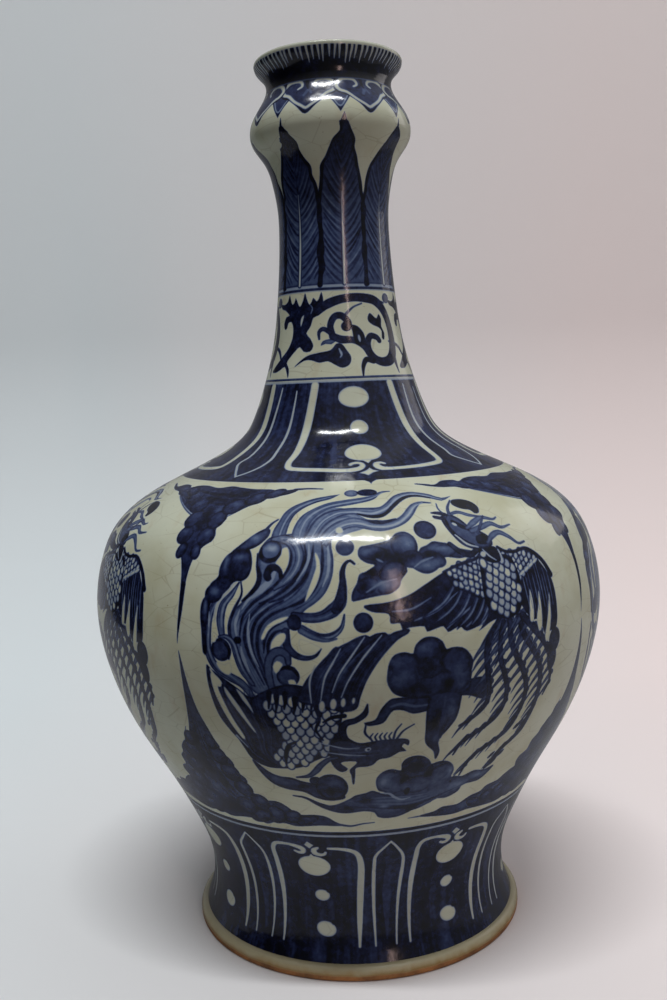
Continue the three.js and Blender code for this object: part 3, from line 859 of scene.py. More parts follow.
def paint_tail_curls(c):
    """Curled heads among the tail feathers, with the gaps that they leave bare."""
    c.shape([(-15.6, 253.4), (-13.6, 250), (-13, 244), (-14.8, 238), (-18, 232.6), (-20.6, 230),
             (-18.8, 236), (-16.6, 242), (-15.2, 247), (-16, 252)], BARE, 0.12, 0.6)
    c.feather([(-39, 260.8), (-33, 261), (-27.6, 258), (-24.8, 252.6), (-25.6, 246.4), (-29.6, 240.6),
               (-35.6, 236)], (3, 5, 6, 6, 5.4, 4, 2), 0.5)
    c.disc(-39.4, 254.4, 6, 5.8, 0, 0.56, INK, 2)
    c.wash(0.26, (-38.8, 255.8, 3.4, 1.8))
    c.line([(-44.8, 256), (-44, 251.4), (-40, 249.4), (-35.6, 250.8), (-34, 254)], (1, 2.2, 2.6, 2.4, 1),
           INK)
    c.shape([(-33.4, 255.6), (-30.6, 256.4), (-29.2, 253), (-29.2, 248), (-31, 243.8), (-33, 241.4),
             (-33.6, 245), (-36, 248.2), (-35, 250.4), (-33.6, 252.6)], BARE, 0.12, 0.6)
    c.line([(-36, 244), (-38, 240), (-42, 236), (-47, 232)], (1.6, 2.8, 3.4, 1.6), 0.3)
    c.shape([(-41.6, 244), (-40, 247.2), (-36, 247.9), (-32.6, 245.4), (-31.6, 241.2), (-33.6, 240.8),
             (-34, 243.4), (-36.4, 244.6), (-38, 243), (-37.4, 240.6), (-39.6, 239.4), (-41.8, 241.4)], INK,
            INK)
    c.line([(-46.3, 253), (-45.5, 247), (-43.8, 242), (-44.6, 237.6), (-48, 233.4), (-52, 230)],
           (0.6, 1.2, 2.6, 2.6, 2, 1), INK)
    c.feather([(-2, 223.6), (-3.4, 218), (-7, 214.6), (-12, 213.4), (-17, 214.8), (-22, 218)],
              (0.8, 1.8, 3, 3.4, 3.4, 2.6), 0.62)
    c.feather([(3.4, 247.4), (1.6, 248.8), (-1, 247.4), (-2.4, 243.4), (-2.2, 239), (-2.4, 234), (-4, 229),
               (-8.4, 225), (-14, 222.8), (-20, 222.6), (-26, 224)],
              (0.8, 1.2, 2.4, 3.2, 4, 6, 6.4, 5, 4.6, 4.4, 3), 0.72)
    c.line([(-6, 212.6), (-11, 212), (-17, 213.6), (-22.6, 216.6)], (0.8, 2, 2.8, 3), MID, DARK)
    c.disc(-25.8, 220.4, 3.4, 3.8, 20, DARK, INK)
    c.line([(-30, 216), (-29.2, 209), (-25.4, 205), (-20.4, 203.6), (-16, 204.8), (-13.4, 208)],
           (4, 4, 3.6, 2.6, 1.8, 0.6), 0.8, INK)
    for slot in ([(-23.4, 212.6), (-20, 212), (-15.6, 209.8), (-13.4, 208.6), (-14.6, 207), (-18, 205.6),
                  (-21.6, 206.2), (-23.6, 209)],
                 [(-42.2, 212.6), (-39.8, 217.8), (-36, 221), (-31, 222.9), (-28.2, 223), (-31, 220.9),
                  (-35, 219.1), (-38.4, 216.3), (-40.6, 212.4)],
                 [(-37.6, 206.6), (-37, 211), (-34, 214.6), (-31, 215.6), (-29.8, 214.4), (-30.6, 211.6),
                  (-33.6, 208.6), (-36.4, 206.4)]):
        c.shape(slot, BARE, 0.12, 0.6)
    c.line([(-38.4, 188), (-39.4, 197), (-37.8, 204), (-33.6, 206.8), (-29.8, 205), (-29.2, 201.2)],
           (3.6, 4.2, 4.4, 4.4, 3), 0.62, INK)
    c.disc(-29.8, 194.6, 5.6, 5.2, 0, 0.68, INK, 1.8)
    c.line([(-34, 197.6), (-31, 199), (-27, 198.2), (-25, 195)], (1, 2, 2.2, 1), INK)
    c.shape([(-37, 199.4), (-34.8, 202.2), (-32, 200.8), (-33, 198.6), (-35.6, 195.8)], BARE, 0.12, 0.6)
    c.shape([(-30, 192.6), (-27, 193), (-26, 190.4), (-28.8, 189.6)], BARE, 0.12, 0.6)


def paint_edge_clouds(c):
    """Dark cloud knots and feather bands along the medallion's left edge."""
    c.feather([(-60, 236), (-66, 230), (-69.4, 222), (-70.6, 213), (-70.4, 204), (-66.6, 197), (-60, 193),
               (-54, 190), (-50, 185), (-48, 179)], (1, 2.6, 3.4, 3.8, 4, 4.4, 4.6, 4.6, 4, 2.6), 0.6)
    c.feather([(-54.4, 238.6), (-58, 232.8), (-62, 228), (-63.4, 221), (-62.6, 213.6)],
              (0.8, 3, 4.2, 4.4, 3.4), 0.56)
    c.line([(-56.4, 238.4), (-60.4, 234.4), (-64.8, 229), (-66.6, 224), (-66.8, 219)],
           (0.8, 2, 1.8, 1.4, 0.5), 0.14)
    c.feather([(-64, 212.4), (-60, 212.6), (-56.6, 209.6), (-54.8, 203.6), (-52.4, 196.6), (-48, 190)],
              (1.6, 3, 3.6, 3.8, 3.6, 2.4), 0.56)
    c.line([(-52.6, 208.4), (-51.6, 203), (-49, 196.4)], (0.6, 2, 0.8), 0.28)
    c.disc(-63.4, 206.2, 5.4, 5.6, 0, 0.76, INK, 1.8)
    c.line([(-61.6, 209.8), (-58.8, 206.4), (-59.4, 202)], (1, 2, 1), INK)
    c.disc(-54.2, 211.4, 2, 1.8, 0, INK, INK)
    for gap in ([(-66.8, 199.8), (-62, 199), (-59, 200.4), (-58.4, 196), (-60.4, 193.8), (-64, 195.2)],
                [(-68.2, 213), (-66.8, 214.6), (-65.4, 212.8), (-66.2, 210), (-68, 209.6)]):
        c.shape(gap, BARE, 0.15, 0.6)
    c.shape([(-59, 256), (-63, 251.4), (-65, 246.4), (-66.8, 240.8), (-70.4, 237.6), (-71.8, 233),
             (-73.6, 229), (-75, 222), (-74.2, 214), (-73.8, 204), (-71.6, 204), (-71.4, 214), (-70.8, 222),
             (-68.6, 229), (-64, 231.8), (-60.8, 234.6), (-57.4, 238.6), (-53, 239.8), (-50, 241.4),
             (-48.6, 246), (-49.2, 251), (-51.2, 255), (-55, 257)], 0.95, INK, 1.5)
    for lobe in ((-72.4, 224, 2.8, 7, 0), (-68, 233, 5.4, 4.6, 30), (-62.4, 246.6, 3.6, 7, -20),
                 (-62.8, 238, 4, 3.6, 0), (-54.8, 247.4, 6.2, 8.2, 10)):
        c.disc(*lobe, 0.88, INK, 1.7)
    c.wash(0.55, (-55.6, 251, 4, 1.8), (-67.6, 234, 3, 2.2), (-63.2, 248, 1.2, 4), (-72.4, 226, 1, 4))
    c.line([(-69.8, 224), (-70, 217)], (0.5, 0.9, 0.4), 0.2)
    c.shape([(-59.5, 255), (-54, 260.8), (-49.2, 265), (-45, 267.3), (-42.2, 266.4), (-42.3, 262.6),
             (-46.2, 257.8), (-51, 255.2), (-55.5, 254.6)], 0.72, INK, 2)
    c.wash(0.42, (-49.6, 261.6, 3.6, 2))
    c.line([(-44.5, 267), (-42.4, 270.6), (-39.6, 273.2)], (1.8, 1.4, 1), DARK)


def paint_small_clouds(c):
    """Pearls and scrolled clouds inside the medallion: dark edges, thin washed lobes and dark hollows."""
    c.disc(5, 293.2, 4.8, 3, 0, MID, DARK)
    c.disc(16, 293.3, 7, 3.1, 0, DARK, INK)
    c.disc(43.8, 263, 6.3, 5.5, 0, 0.76, INK, 1.5)
    c.disc(-0.6, 255.8, 4.7, 4.4, 0, 0.72, DARK, 1.5)
    c.disc(6.7, 219.6, 4.6, 4.7, 0, DARK, INK, 1.5)
    c.line([(3.8, 247.2), (1.8, 248.8), (-0.5, 247.6), (-2, 243.8), (-2.4, 238.5), (-3.6, 231), (-6, 226)],
           (1, 1.4, 2.2, 3.4, 5, 4), DARK, INK)
    c.shape([(5.8, 252), (7, 255.4), (11, 256.2), (17, 257.2), (23, 258.8), (27, 262), (32, 262.6),
             (36, 259.6), (37.2, 255), (36.4, 250.6), (38.6, 253.2), (42, 254.2), (46, 256), (50, 255.2),
             (54.5, 254), (59.5, 251.2), (68, 248.4), (60, 246.2), (54, 247), (50, 247.4), (46.4, 242.8),
             (42, 240.6), (38, 240.6), (34, 242.6), (30, 245.6), (29.6, 242), (27, 239.4), (24.6, 236),
             (21, 232.6), (16, 231.8), (10, 231), (4, 229.8), (1.8, 230), (2.2, 234), (4.6, 238), (6, 242),
             (9, 243), (12, 244.6), (14, 246.2), (10, 247.4), (7, 249.4)], 0.7, 0.94, 1.6)
    for lobe in ((51, 250.6, 6.6, 3.2, 0), (44.4, 247, 6.6, 4, -20), (9.6, 236.6, 5.4, 4, 20),
                 (20, 236, 6, 3.4, 20), (22, 243, 7, 4.4, 30), (14, 252, 7, 3.6, 0), (30, 255, 7, 6, 0),
                 (33, 248, 6.4, 4.4, 0)):
        c.disc(*lobe, 0.66, 0.92, 1.7)
    c.wash(0.44, (32, 257, 3.6, 3.6), (11, 252.6, 4, 2), (41, 244.4, 5, 2), (17, 236.6, 6, 1.8),
           (49, 252, 5, 1.5))
    c.wash(1, (18, 250.6, 7, 3), (28, 249, 8, 2.6), (12, 243, 4, 3), (8, 236, 3, 4), (44, 249.4, 5, 2))
    for pale in ([(33.6, 244), (38, 246.4), (44, 248)], [(9, 233.6), (16, 237.4), (24, 239)],
                 [(15, 249), (18, 247.4)]):
        c.line(pale, (0.6, 1.4, 0.6), 0.4)
    c.shape([(5.6, 169.4), (11, 170.8), (14, 176.5), (18, 181), (22, 182), (32, 181.5), (42, 182),
             (40, 174.5), (37, 173.3), (30, 172.7), (25, 175), (20.3, 175.4), (18, 173), (15, 168.8),
             (8, 167.6)], 0.8, INK, 1.3)
    c.line([(18.6, 177.4), (24, 178.6), (31, 176.6), (38, 176.8)], (0.8, 1.6, 1.4, 0.8), 0.56)
    c.shape([(37.2, 176), (37.2, 164), (38, 154.5), (43.2, 148.5), (45, 143), (46.8, 147.5), (45.2, 155),
             (49.5, 160.8), (53.6, 167), (55, 176), (54, 184), (40, 184)], 0.82, INK, 1.6)
    c.shape([(52, 184), (60, 187.5), (69, 187), (71.5, 183), (71, 177), (67, 175.6), (60, 178.5),
             (53, 180)], 0.82, INK, 1.6)
    c.shape([(18.6, 201), (17.4, 197), (17, 190.6), (18.8, 186.6), (22, 183.4), (27, 181.6), (36, 180.4),
             (42, 182), (48, 182), (56, 180.6), (60, 184), (59.4, 190), (60.2, 197), (56, 203),
             (50.6, 204.6), (46.2, 204), (44.2, 208), (40, 210.6), (35, 210.6), (31, 207.6), (29.6, 203.6),
             (25.6, 204.6), (21, 203.8)], 0.82, INK, 1.8)
    for lobe in ((53.4, 190, 6.4, 8, 0), (25, 190, 7.2, 7.4, 0), (25.6, 198, 6.6, 6, 20),
                 (51, 197.6, 8, 6.6, -30), (37, 204, 7, 6, 0), (42, 188, 9.4, 6.4, 0),
                 (38, 196, 6.6, 5.4, 0)):
        c.disc(*lobe, 0.8, 0.97, 2)
    c.hairs([(41, 180), (40, 168), (42, 156), (44, 148)], [(53, 180), (52, 168), (47, 158), (45.4, 148)], 8,
            0.6, 0.95, 1.4)
    c.wash(0.64, (25, 192, 6, 4), (36, 206, 4.4, 3), (52, 191, 4, 7), (50, 174, 3, 6), (43, 157, 1.6, 4),
           (22, 200, 3, 2.6))
    c.wash(1, (43, 203, 3, 3), (37, 196, 5, 4), (48, 187, 3, 4), (30, 186, 8, 2.6), (42, 168, 3, 6))
    c.shape([(26, 138), (26, 142.5), (28.5, 145.8), (33, 147), (38, 146), (41.6, 143), (43, 140), (48, 141),
             (53, 140.2), (57, 137), (58.8, 132.6), (58.6, 127), (66, 124), (60, 116), (46, 113), (30, 113),
             (22, 116), (18, 122.6), (14, 124.4), (12.2, 129), (12.4, 134), (15.6, 138), (20.6, 139.6)],
            0.74, INK, 1.9)
    c.shape([(-28.5, 117.4), (-22, 114.6), (-13, 114.6), (-4, 119), (0, 121.8), (6, 123.2), (10, 124.8),
             (14, 123.2), (20, 121), (26, 123), (42, 124), (52, 126), (59.6, 128), (66.5, 126.8), (74, 129),
             (82, 127.6), (89, 129), (86, 123.7), (80.4, 120), (69.6, 119.6), (67.3, 115), (60, 112),
             (52, 112.6), (48, 110), (41, 110), (36, 106), (28, 102.8), (20, 102.3), (14, 104), (12, 107.4),
             (5, 109), (-6, 107.8), (-14, 109), (-22, 112.5)], 0.74, 0.92, 1.8)
    for lobe in ((20.6, 131.6, 7, 6.6, 0), (49.4, 132.6, 8.4, 5.6, 30), (35, 138, 8.4, 8, 0),
                 (36, 126.6, 10.4, 6.4, 0), (52, 122, 8, 5, 20)):
        c.disc(*lobe, 0.7, 0.95, 1.8)
    c.hairs([(-20, 114), (8, 120), (34, 119), (56, 120), (84, 127)],
            [(-18, 112), (8, 110), (34, 106), (56, 114), (84, 124)], 14, 0.5, 0.96, 1.6)
    c.wash(0.42, (16.4, 131, 3.4, 5), (56.4, 132.6, 2, 4), (17.6, 112, 4, 1.6), (78, 125, 6, 2),
           (64, 121, 7, 3))
    c.wash(0.62, (24, 126, 5, 4), (47, 128, 8, 5), (50, 118, 9, 4), (0, 115, 8, 3))
    c.wash(1, (34, 139, 7, 5), (28, 131, 4.6, 3), (36, 108, 6, 3), (-5, 112, 6, 2.4), (6, 117, 5, 2.6),
           (43, 134, 3, 4))
    c.disc(31.2, 122.2, 1.7, 2.8, 0, INK, INK)
    c.line([(15, 122.6), (20.6, 121.4), (24, 118.4), (28.4, 116.2), (34, 116.8)], (0.6, 1.5, 1.6, 1.2, 0.5),
           0.28)
    c.line([(-38, 121), (-31, 119.8), (-24, 115.8), (-15, 112)], (1, 2, 2.6), DARK)
    c.shape([(-57, 145.4), (-54.6, 137.4), (-49.2, 129.7), (-41.5, 126), (-30.8, 124.3), (-24.6, 120.5),
             (-18.5, 118.4), (-12, 118.2), (-6, 121), (-16, 130), (-24.6, 131.3), (-30.8, 132.6),
             (-36, 134.6), (-43, 135.2), (-49.2, 138)], 0.78, INK, 1.8)
    c.disc(-22.4, 133, 3.6, 3, 0, DARK, INK)
    c.disc(-13.6, 128.2, 9.5, 9.6, 0, 0.82, INK, 2)
    c.wash(0.62, (-12, 131, 4, 3), (-46, 133, 4, 2.4), (-38, 130, 5, 1.6))
    c.wash(1, (-14.6, 126, 3.4, 3), (-30, 128.6, 6, 1.6))


def paint_lower_bird(c):
    """The phoenix that flies down to the right: dark wings with reserved lines, and a scaled body."""
    c.shape([(-72.5, 198), (-72.8, 186), (-70.4, 172), (-66, 163.6), (-61, 156), (-57, 146), (-49.2, 141.4),
             (-40, 141), (-30.8, 142), (-26, 144), (-20, 147.4), (-14.6, 149.7), (-10, 150), (-4, 148),
             (6, 147), (14, 147.4), (14, 158), (2, 158), (-6, 166), (-4, 176), (2, 178), (-8, 184),
             (-24, 190), (-34, 190), (-44, 186), (-50, 183), (-56, 187), (-62, 191), (-70, 196)], 0.88,
            INK)
    c.hairs([(-70.6, 192), (-70.4, 178), (-64, 164), (-58, 150), (-46, 143)],
            [(-46, 186), (-45, 174), (-42, 162), (-44, 150), (-38, 142)], 26, 0.7, 1, 0.9)
    c.line([(-66.6, 188.6), (-69.2, 193.6), (-70.6, 196)], (3, 2, 0.8), BARE)
    c.shape([(-70.6, 194), (-67, 192.6), (-64.6, 189), (-67.4, 187.4), (-65.6, 180), (-62, 169.6),
             (-57.6, 159.6), (-59.4, 158.6), (-64.6, 168), (-68.6, 178.6), (-70.6, 187)], BARE, 0.12, 0.6)
    c.shape([(-63.6, 187.6), (-60, 182.4), (-56, 175.4), (-50.6, 163.6), (-51.8, 163.6), (-57.4, 172.6),
             (-61.6, 179.6), (-64, 185)], 0.08, 0.3, 0.6)
    c.shape([(-57.4, 187), (-54, 184.4), (-50.8, 178.4), (-49.8, 174), (-51.6, 176.6), (-55, 181.6)], 0.1,
            0.3, 0.6)
    c.line([(-62.5, 160), (-57.6, 153.4)], (1.3, 0.5), 0.25)
    c.scales([(-43, 182), (-42.6, 174), (-40.6, 168), (-37, 163), (-38, 156), (-42, 149), (-41, 143.6),
              (-36, 142.4), (-28, 144.2), (-20, 148.6), (-13.4, 152), (-12.4, 158), (-9, 164), (-5.6, 170),
              (-5.4, 176), (-9, 181.4), (-16, 180.6), (-24, 182), (-32, 183.6), (-38, 184)], 5, 3.8, -8)
    for x, s in ((-41, 181), (-37.4, 179.6), (-33, 181), (-28.4, 178.6), (-24, 179.6), (-19.6, 181),
                 (-16, 178.4)):
        c.line([(x + 0.8, s + 4.6), (x + 0.4, s), (x - 0.4, s - 3.6)], (3, 1.8, 0.8), INK)
    c.line([(-30, 158.6), (-34, 156), (-36.4, 150), (-37.4, 144)], (1, 2.4, 2.2, 1), INK)
    c.line([(-18, 180), (-16.4, 172), (-18.6, 166), (-15.4, 160)], (2.2, 1.8, 1.4, 0.8), 0.94)
    c.line([(-4, 173.8), (-10, 173), (-14.6, 170.4)], (2.4, 2, 0.8), INK)
    c.shape([(-26, 182), (-23, 190), (-18, 197), (-12.4, 201.5), (-9.7, 206), (-6.6, 208.9), (-4, 208.5),
             (-0.5, 210.8), (3.4, 212.9), (7.6, 213.9), (9.4, 213), (12, 214.2), (16.7, 214.6),
             (18.3, 213.2), (21, 214.5), (28, 215.5), (27.6, 213.4), (22.6, 210.8), (17.2, 206),
             (11.8, 199.2), (7.2, 191.5), (4.2, 183.8), (2, 177.4), (-5, 176), (-15, 178.6)], 0.86, INK)
    c.hairs([(-24, 183), (-19, 196), (-8, 207), (4, 213)], [(2, 179), (7, 191.5), (15, 203), (26, 214)], 22,
            0.66, 1, 0.9)
    for vein in ([(-16.6, 200), (-19.6, 192), (-19.6, 181)],
                 [(-4.4, 207.9), (-8, 201.6), (-12.4, 193.6), (-15, 182)],
                 [(7, 213), (0.3, 203.8), (-5.4, 195.6), (-9.2, 186.5)],
                 [(15, 213.4), (7.2, 204.6), (2.4, 198), (-2, 190.8), (-5, 183.8)]):
        c.line(vein, (0.5, 1.1, 0.9, 0.5), 0.18)
    for x, s, across, up in (
            (-14.6, 179.2, 1.6, 3), (-9, 180.3, 1.7, 3), (-4.2, 181, 1.3, 2.5), (0.8, 181.8, 0.9, 1.8)):
        c.disc(x, s, across, up, -8, 0.08, 0.4, 0.6)
    c.line([(7.4, 179.4), (6, 174.4), (1.4, 171), (-3.4, 169.6), (-5.4, 166), (-4.6, 161), (-1.6, 158)],
           (0.8, 3, 3, 3.4, 4, 3.8, 3), DARK, INK)
    c.shape([(-12, 157.4), (-6, 160), (-2, 159.4), (3.4, 157), (9, 156.4), (12, 158.6), (20.3, 158.9),
             (26.5, 158.6), (29, 157), (28.6, 154.2), (26.6, 155.6), (25.2, 153.8), (27.8, 150.9),
             (24.2, 150.6), (18.8, 147.6), (13.4, 146.8), (10.4, 143.8), (7.2, 142.6), (1, 142), (0.3, 138),
             (-0.4, 131), (-1.4, 131), (-1.8, 137), (-2.6, 140.6), (1.6, 145.6), (-3, 146.6), (-7.4, 145.4),
             (-3.6, 141.4), (-6.6, 139.4), (-9.6, 141), (-12.4, 146.6)], 0.82, INK)
    c.hairs([(-11, 156.6), (2, 156.4), (14, 157)], [(-11, 148.4), (2, 148), (16, 149)], 9, 0.6, 1, 0.7)
    c.disc(7.4, 153.6, 1.7, 1.2, 20, 0.15, 0.15)
    c.disc(7.6, 153.5, 0.7, 0.6, 0, INK, INK)
    for line in ([(-18, 158.6), (-11, 156.4), (-4, 154.6), (3, 154.8)],
                 [(-18, 153), (-10, 151.6), (-2, 150.4), (6, 150)]):
        c.line(line, (0.4, 0.9, 0.4), 0.24)
    for x in (9.6, 12, 14.4, 16.8, 19.2):
        c.line([(x, 158.6), (x - 1, 160.8), (x + 0.4, 163)], (1, 0.9, 0.5), DARK)
    c.line([(20.6, 159.4), (21.6, 163.6), (24.4, 167.4)], (1.2, 0.9, 0.6), DARK)
    c.line([(22.4, 159), (25.6, 163.4), (31, 166.6)], (1.2, 0.9, 0.6), DARK)
    c.line([(6.4, 168), (6, 163.6), (8.6, 160)], (0.8, 1.2, 0.8), DARK)
    c.line([(-33, 135.2), (-26, 136.4), (-21.5, 139.9), (-18.5, 143.6), (-13.8, 147.6), (-9, 149)],
           (1, 2.4, 3.6, 3, 2.4), 0.66, INK)


def paint_upper_bird(c):
    """The phoenix that flies up to the left: crest, spread wings, net-patterned body and barbed tail."""
    ribs = ([(76, 214), (70, 207), (68, 200), (69, 190), (71, 180), (70, 172), (64, 166), (56, 162)],
            [(78, 213), (76, 205), (76.4, 195), (79.4, 187), (82.4, 178), (82, 170), (78, 163), (70, 157.6),
             (60, 152), (55.6, 144)],
            [(82, 213), (82.6, 203), (86.4, 195), (91, 188), (95, 180), (96.4, 172), (94.6, 163),
             (89.4, 153), (80, 147), (71, 142), (66, 135), (63.8, 128)],
            [(88, 214), (91, 205), (97, 197), (103, 189), (106, 180), (107, 170), (105, 160), (101, 150),
             (95, 144.5), (89, 140), (86.6, 133), (82, 129.4)],
            [(90.4, 214.4), (98, 207), (105, 200), (110, 193), (113, 185), (115, 176), (112, 168.4)])
    widths = ((3.4, 3.4, 3, 2.6, 1.2), (3, 3, 3, 2.6, 2.6, 1), (3.4, 3.6, 3.2, 3, 2.8, 0.9),
              (3.6, 3.4, 3.4, 3.4, 3, 2.4), (4, 4.4, 3.6, 2.6, 1.2))
    for rib, width in zip(ribs, widths):
        number = int(np.hypot(*np.diff(rib, axis=0).T).sum() / 4.9)
        for i, (x, s) in enumerate(evenly(rib, number)[:-1]):
            thick = np.interp(s, (140, 205), (2.0, 3.3))
            long = np.interp(s, (135, 165, 205), (6, 7.4, 8.4)) + i % 3
            c.line([(x + 0.8, s + 1.4), (x - 0.32 * long, s - 0.22 * long),
                    (x - 0.68 * long, s - 0.6 * long), (x - long, s - 1.1 * long)],
                   (1.2 * thick, 0.8 * thick, 0.45 * thick, 0.3), np.interp(s, (150, 200), (0.74, 0.62)),
                   0.92)
        c.line(rib, width, DARK, INK)
    for x, s in ((87, 135), (90.6, 137), (84, 132.6), (83.4, 137.6), (98.6, 154.6), (96.4, 153.4)):
        c.line([(x - 1.6, s - 1.4), (x + 1.6, s + 1.6)], (1.4, 2.2, 1), DARK)
    c.disc(113.8, 188, 3.6, 6.4, 0, DARK, INK, 2)
    c.disc(114.6, 198, 4.6, 6.4, 0, DARK, INK, 2)
    c.shape([(7.4, 227.4), (18.8, 228.4), (28.8, 230.9), (38, 235.4), (48, 240.2), (58, 243), (70, 241),
             (78, 238), (80, 228), (77, 217), (70, 214), (63.6, 210.8), (66, 213.6), (57, 211.6),
             (53.4, 214.2), (47.2, 212.2), (45, 215.2), (36.8, 213.4), (35.7, 216), (28, 216), (25, 214.8),
             (24, 218.4), (19.5, 218.6), (18.8, 223), (11, 224.4)], 0.92, INK)
    for vein in ([(47, 214), (54, 219), (62, 223.6), (69, 230)], [(57, 213.6), (62.4, 217), (67.6, 222.6)],
                 [(64, 213), (67.6, 216), (69.8, 220)], [(31, 219), (42, 222.6), (52, 229), (56, 231)],
                 [(20.5, 224), (30, 224.6), (40, 229)]):
        c.line(vein, (0.5, 1.1, 0.9, 0.4), 0.4)
    for x, s, out, down in (
            (52, 233, 17, 13), (56, 230.6, 16, 14), (60, 228.4, 14, 14), (64, 226.6, 12, 13.6),
            (67.6, 225.6, 9, 12.6), (70.4, 225, 6, 11)):
        c.feather([(x + 1, s + 1), (x - 0.35 * out, s - 0.5 * down), (x - out, s - down)],
                  (2.4, 3, 2.6, 0.5), 0.62)
    c.shape([(90, 244), (102, 244), (108, 240), (112.4, 234), (116, 228), (117, 216), (116, 205),
             (112, 203.4), (109, 203), (107, 201), (104.6, 206), (101, 211), (98, 211), (95.4, 213),
             (92, 217), (88, 226)], 0.94, INK)
    for gap in ([(97.3, 226.4), (98.6, 220), (98.2, 211), (95.6, 210.6), (95.6, 216.5)],
                [(103.6, 224.6), (104.4, 218), (104.2, 207), (101.8, 204.6), (100.2, 210.8), (101.8, 217)],
                [(111.6, 222.6), (111.7, 214.6), (110.6, 204.6), (108.6, 198), (106.4, 200.8),
                 (108.6, 210.8)]):
        c.shape(gap, BARE, 0.2, 0.6)
    c.hairs([(92, 243), (93, 228), (95, 214)], [(114, 238), (115, 224), (116, 208)], 9, 0.3, 0.6, 0.7)
    c.scales([(49, 240.4), (56, 243), (62.7, 244.2), (69, 246), (72, 246), (71, 238), (70, 228), (66, 226),
              (60, 229), (53, 233)], 3.5, 2.6, 30)
    c.scales([(82, 248.6), (87, 246.4), (94, 245.6), (101, 246.2), (106, 243.6), (109, 239), (102, 238),
              (96, 234), (90, 232), (84, 238)], 3.5, 2.6, -25)
    for i in range(5):
        c.disc(91 + 3.7 * i, 233.4 + 1.5 * i, 2.5, 1, 24, 0.1, 0.45, 0.5)
    c.line([(48, 240.4), (56, 242.8), (62.7, 244.2), (68, 245.2), (71, 247.6)], (1, 1.6, 1.8, 1.4), DARK)
    c.line([(82.7, 249.4), (87.3, 246.6), (93.5, 245.9), (101, 246.6), (106.5, 243.9), (112, 238.4),
            (116, 231)], (1.4, 1.6, 1.8, 2.4, 3), INK)
    c.shape([(71, 244), (68.4, 236), (68.4, 225), (71.6, 218), (77.6, 214.8), (83.4, 214.4), (89.4, 217.6),
             (92, 225.6), (91.6, 237), (87, 245)], INK, INK)
    c.scales([(71.4, 243), (70.4, 236), (70.4, 226), (73.4, 219.8), (78, 217), (83, 216.6), (87.6, 219.4),
              (90, 226), (89.6, 236), (86, 243), (79, 245.6)], 4.4, 3.4, 20)
    c.line([(55, 253.8), (59.6, 249.4), (65, 247.2), (70.4, 249.6), (76, 249.8)], (2.4, 3, 3, 2.4), DARK,
           INK)
    c.shape([(71, 250), (78, 250.4), (82, 249), (84, 244), (80, 241.6), (74, 243), (70.6, 246.4)], INK, INK)
    c.disc(72.6, 246.8, 1.8, 1.6, 0, 0.1, 0.4, 0.5)
    c.line([(73, 249.4), (76, 245.6), (79.6, 243)], (0.6, 1, 0.6), 0.15)
    c.line([(82.6, 248), (83.4, 244.6), (82.6, 241.4)], (0.8, 1.2, 0.8), 0.15)
    c.shape([(56.4, 270.4), (62, 271.6), (67, 268), (71, 262), (76, 259), (80, 255.4), (80.4, 251),
             (75, 249.6), (68, 250), (62, 253), (58, 259), (56, 265)], 0.66, INK, 1.8)
    c.line([(58.4, 268.8), (58.6, 262), (62.6, 256), (69, 252)], (1, 1.6, 1.4, 0.8), INK)
    c.line([(60, 258.4), (65, 253), (71, 250.6)], (0.8, 1.2, 0.6), 0.1)
    c.line([(62, 266.4), (66, 263), (70.4, 260)], (2, 2.6, 1.4), INK)
    c.disc(62.4, 264.6, 1.6, 0.9, -35, 0.12, 0.12)
    c.shape([(72, 256.4), (78, 257), (80, 253.4), (77, 251.4), (71.6, 252.6)], INK, INK)
    c.shape([(51.2, 273.2), (56, 274), (61, 272), (60, 269.4), (56, 270.4), (52, 271.4), (51.8, 269.6),
             (57, 268), (60, 270)], DARK, INK, 0.8)
    for crest, width in (
            ([(62, 271), (68.8, 272.2), (75, 269.4), (81, 267.9)], (1.6, 2.2, 2.2, 1)),
            ([(69, 261.6), (76.5, 265.2), (82, 267), (89, 265), (92.4, 266)], (2, 3.4, 2.8, 2, 0.7)),
            ([(71, 259.6), (79.6, 261.5), (85.8, 262.6), (91.4, 259.6), (98.8, 260.4)],
             (3, 3.2, 2.8, 1.8, 0.7)),
            ([(78, 252.4), (82, 255.4), (87.6, 257), (93, 254), (98, 249.7), (102.9, 250)],
             (2, 3.2, 2.8, 2.2, 1.4, 1)), ([(62.4, 271), (64.2, 276), (69.6, 281.6)], (1.8, 1.3, 0.6)),
            ([(59, 272), (57.6, 276), (58.6, 280)], (1, 0.8, 0.4)),
            ([(74, 258), (80, 264), (84, 268)], (1, 1.6, 0.6))):
        c.line(crest, width, MID, DARK)
    c.shape([(68.6, 278), (70.2, 281.2), (74.2, 281.9), (79.6, 281), (84.2, 278), (85.2, 273.8),
             (82.7, 270.3), (79.6, 270.2), (78.2, 272.8), (72.7, 274.5)], INK, INK)


def paint_belly_rings(c):
    """The ring lines at both ends of the belly, the upper one with a point that hangs from it."""
    c.band(88, 90.3, 0.22)
    c.band(90.4, 92.8, 0.97)
    c.band(305.6, 308, 0.9)
    c.shape([(10.6, 308), (12, 306), (17, 305.3), (20.2, 303.4), (21.1, 301.7), (22.3, 303.4), (26, 305.3),
             (31, 306), (32, 308)], 0.9, 0.9, smooth=False)


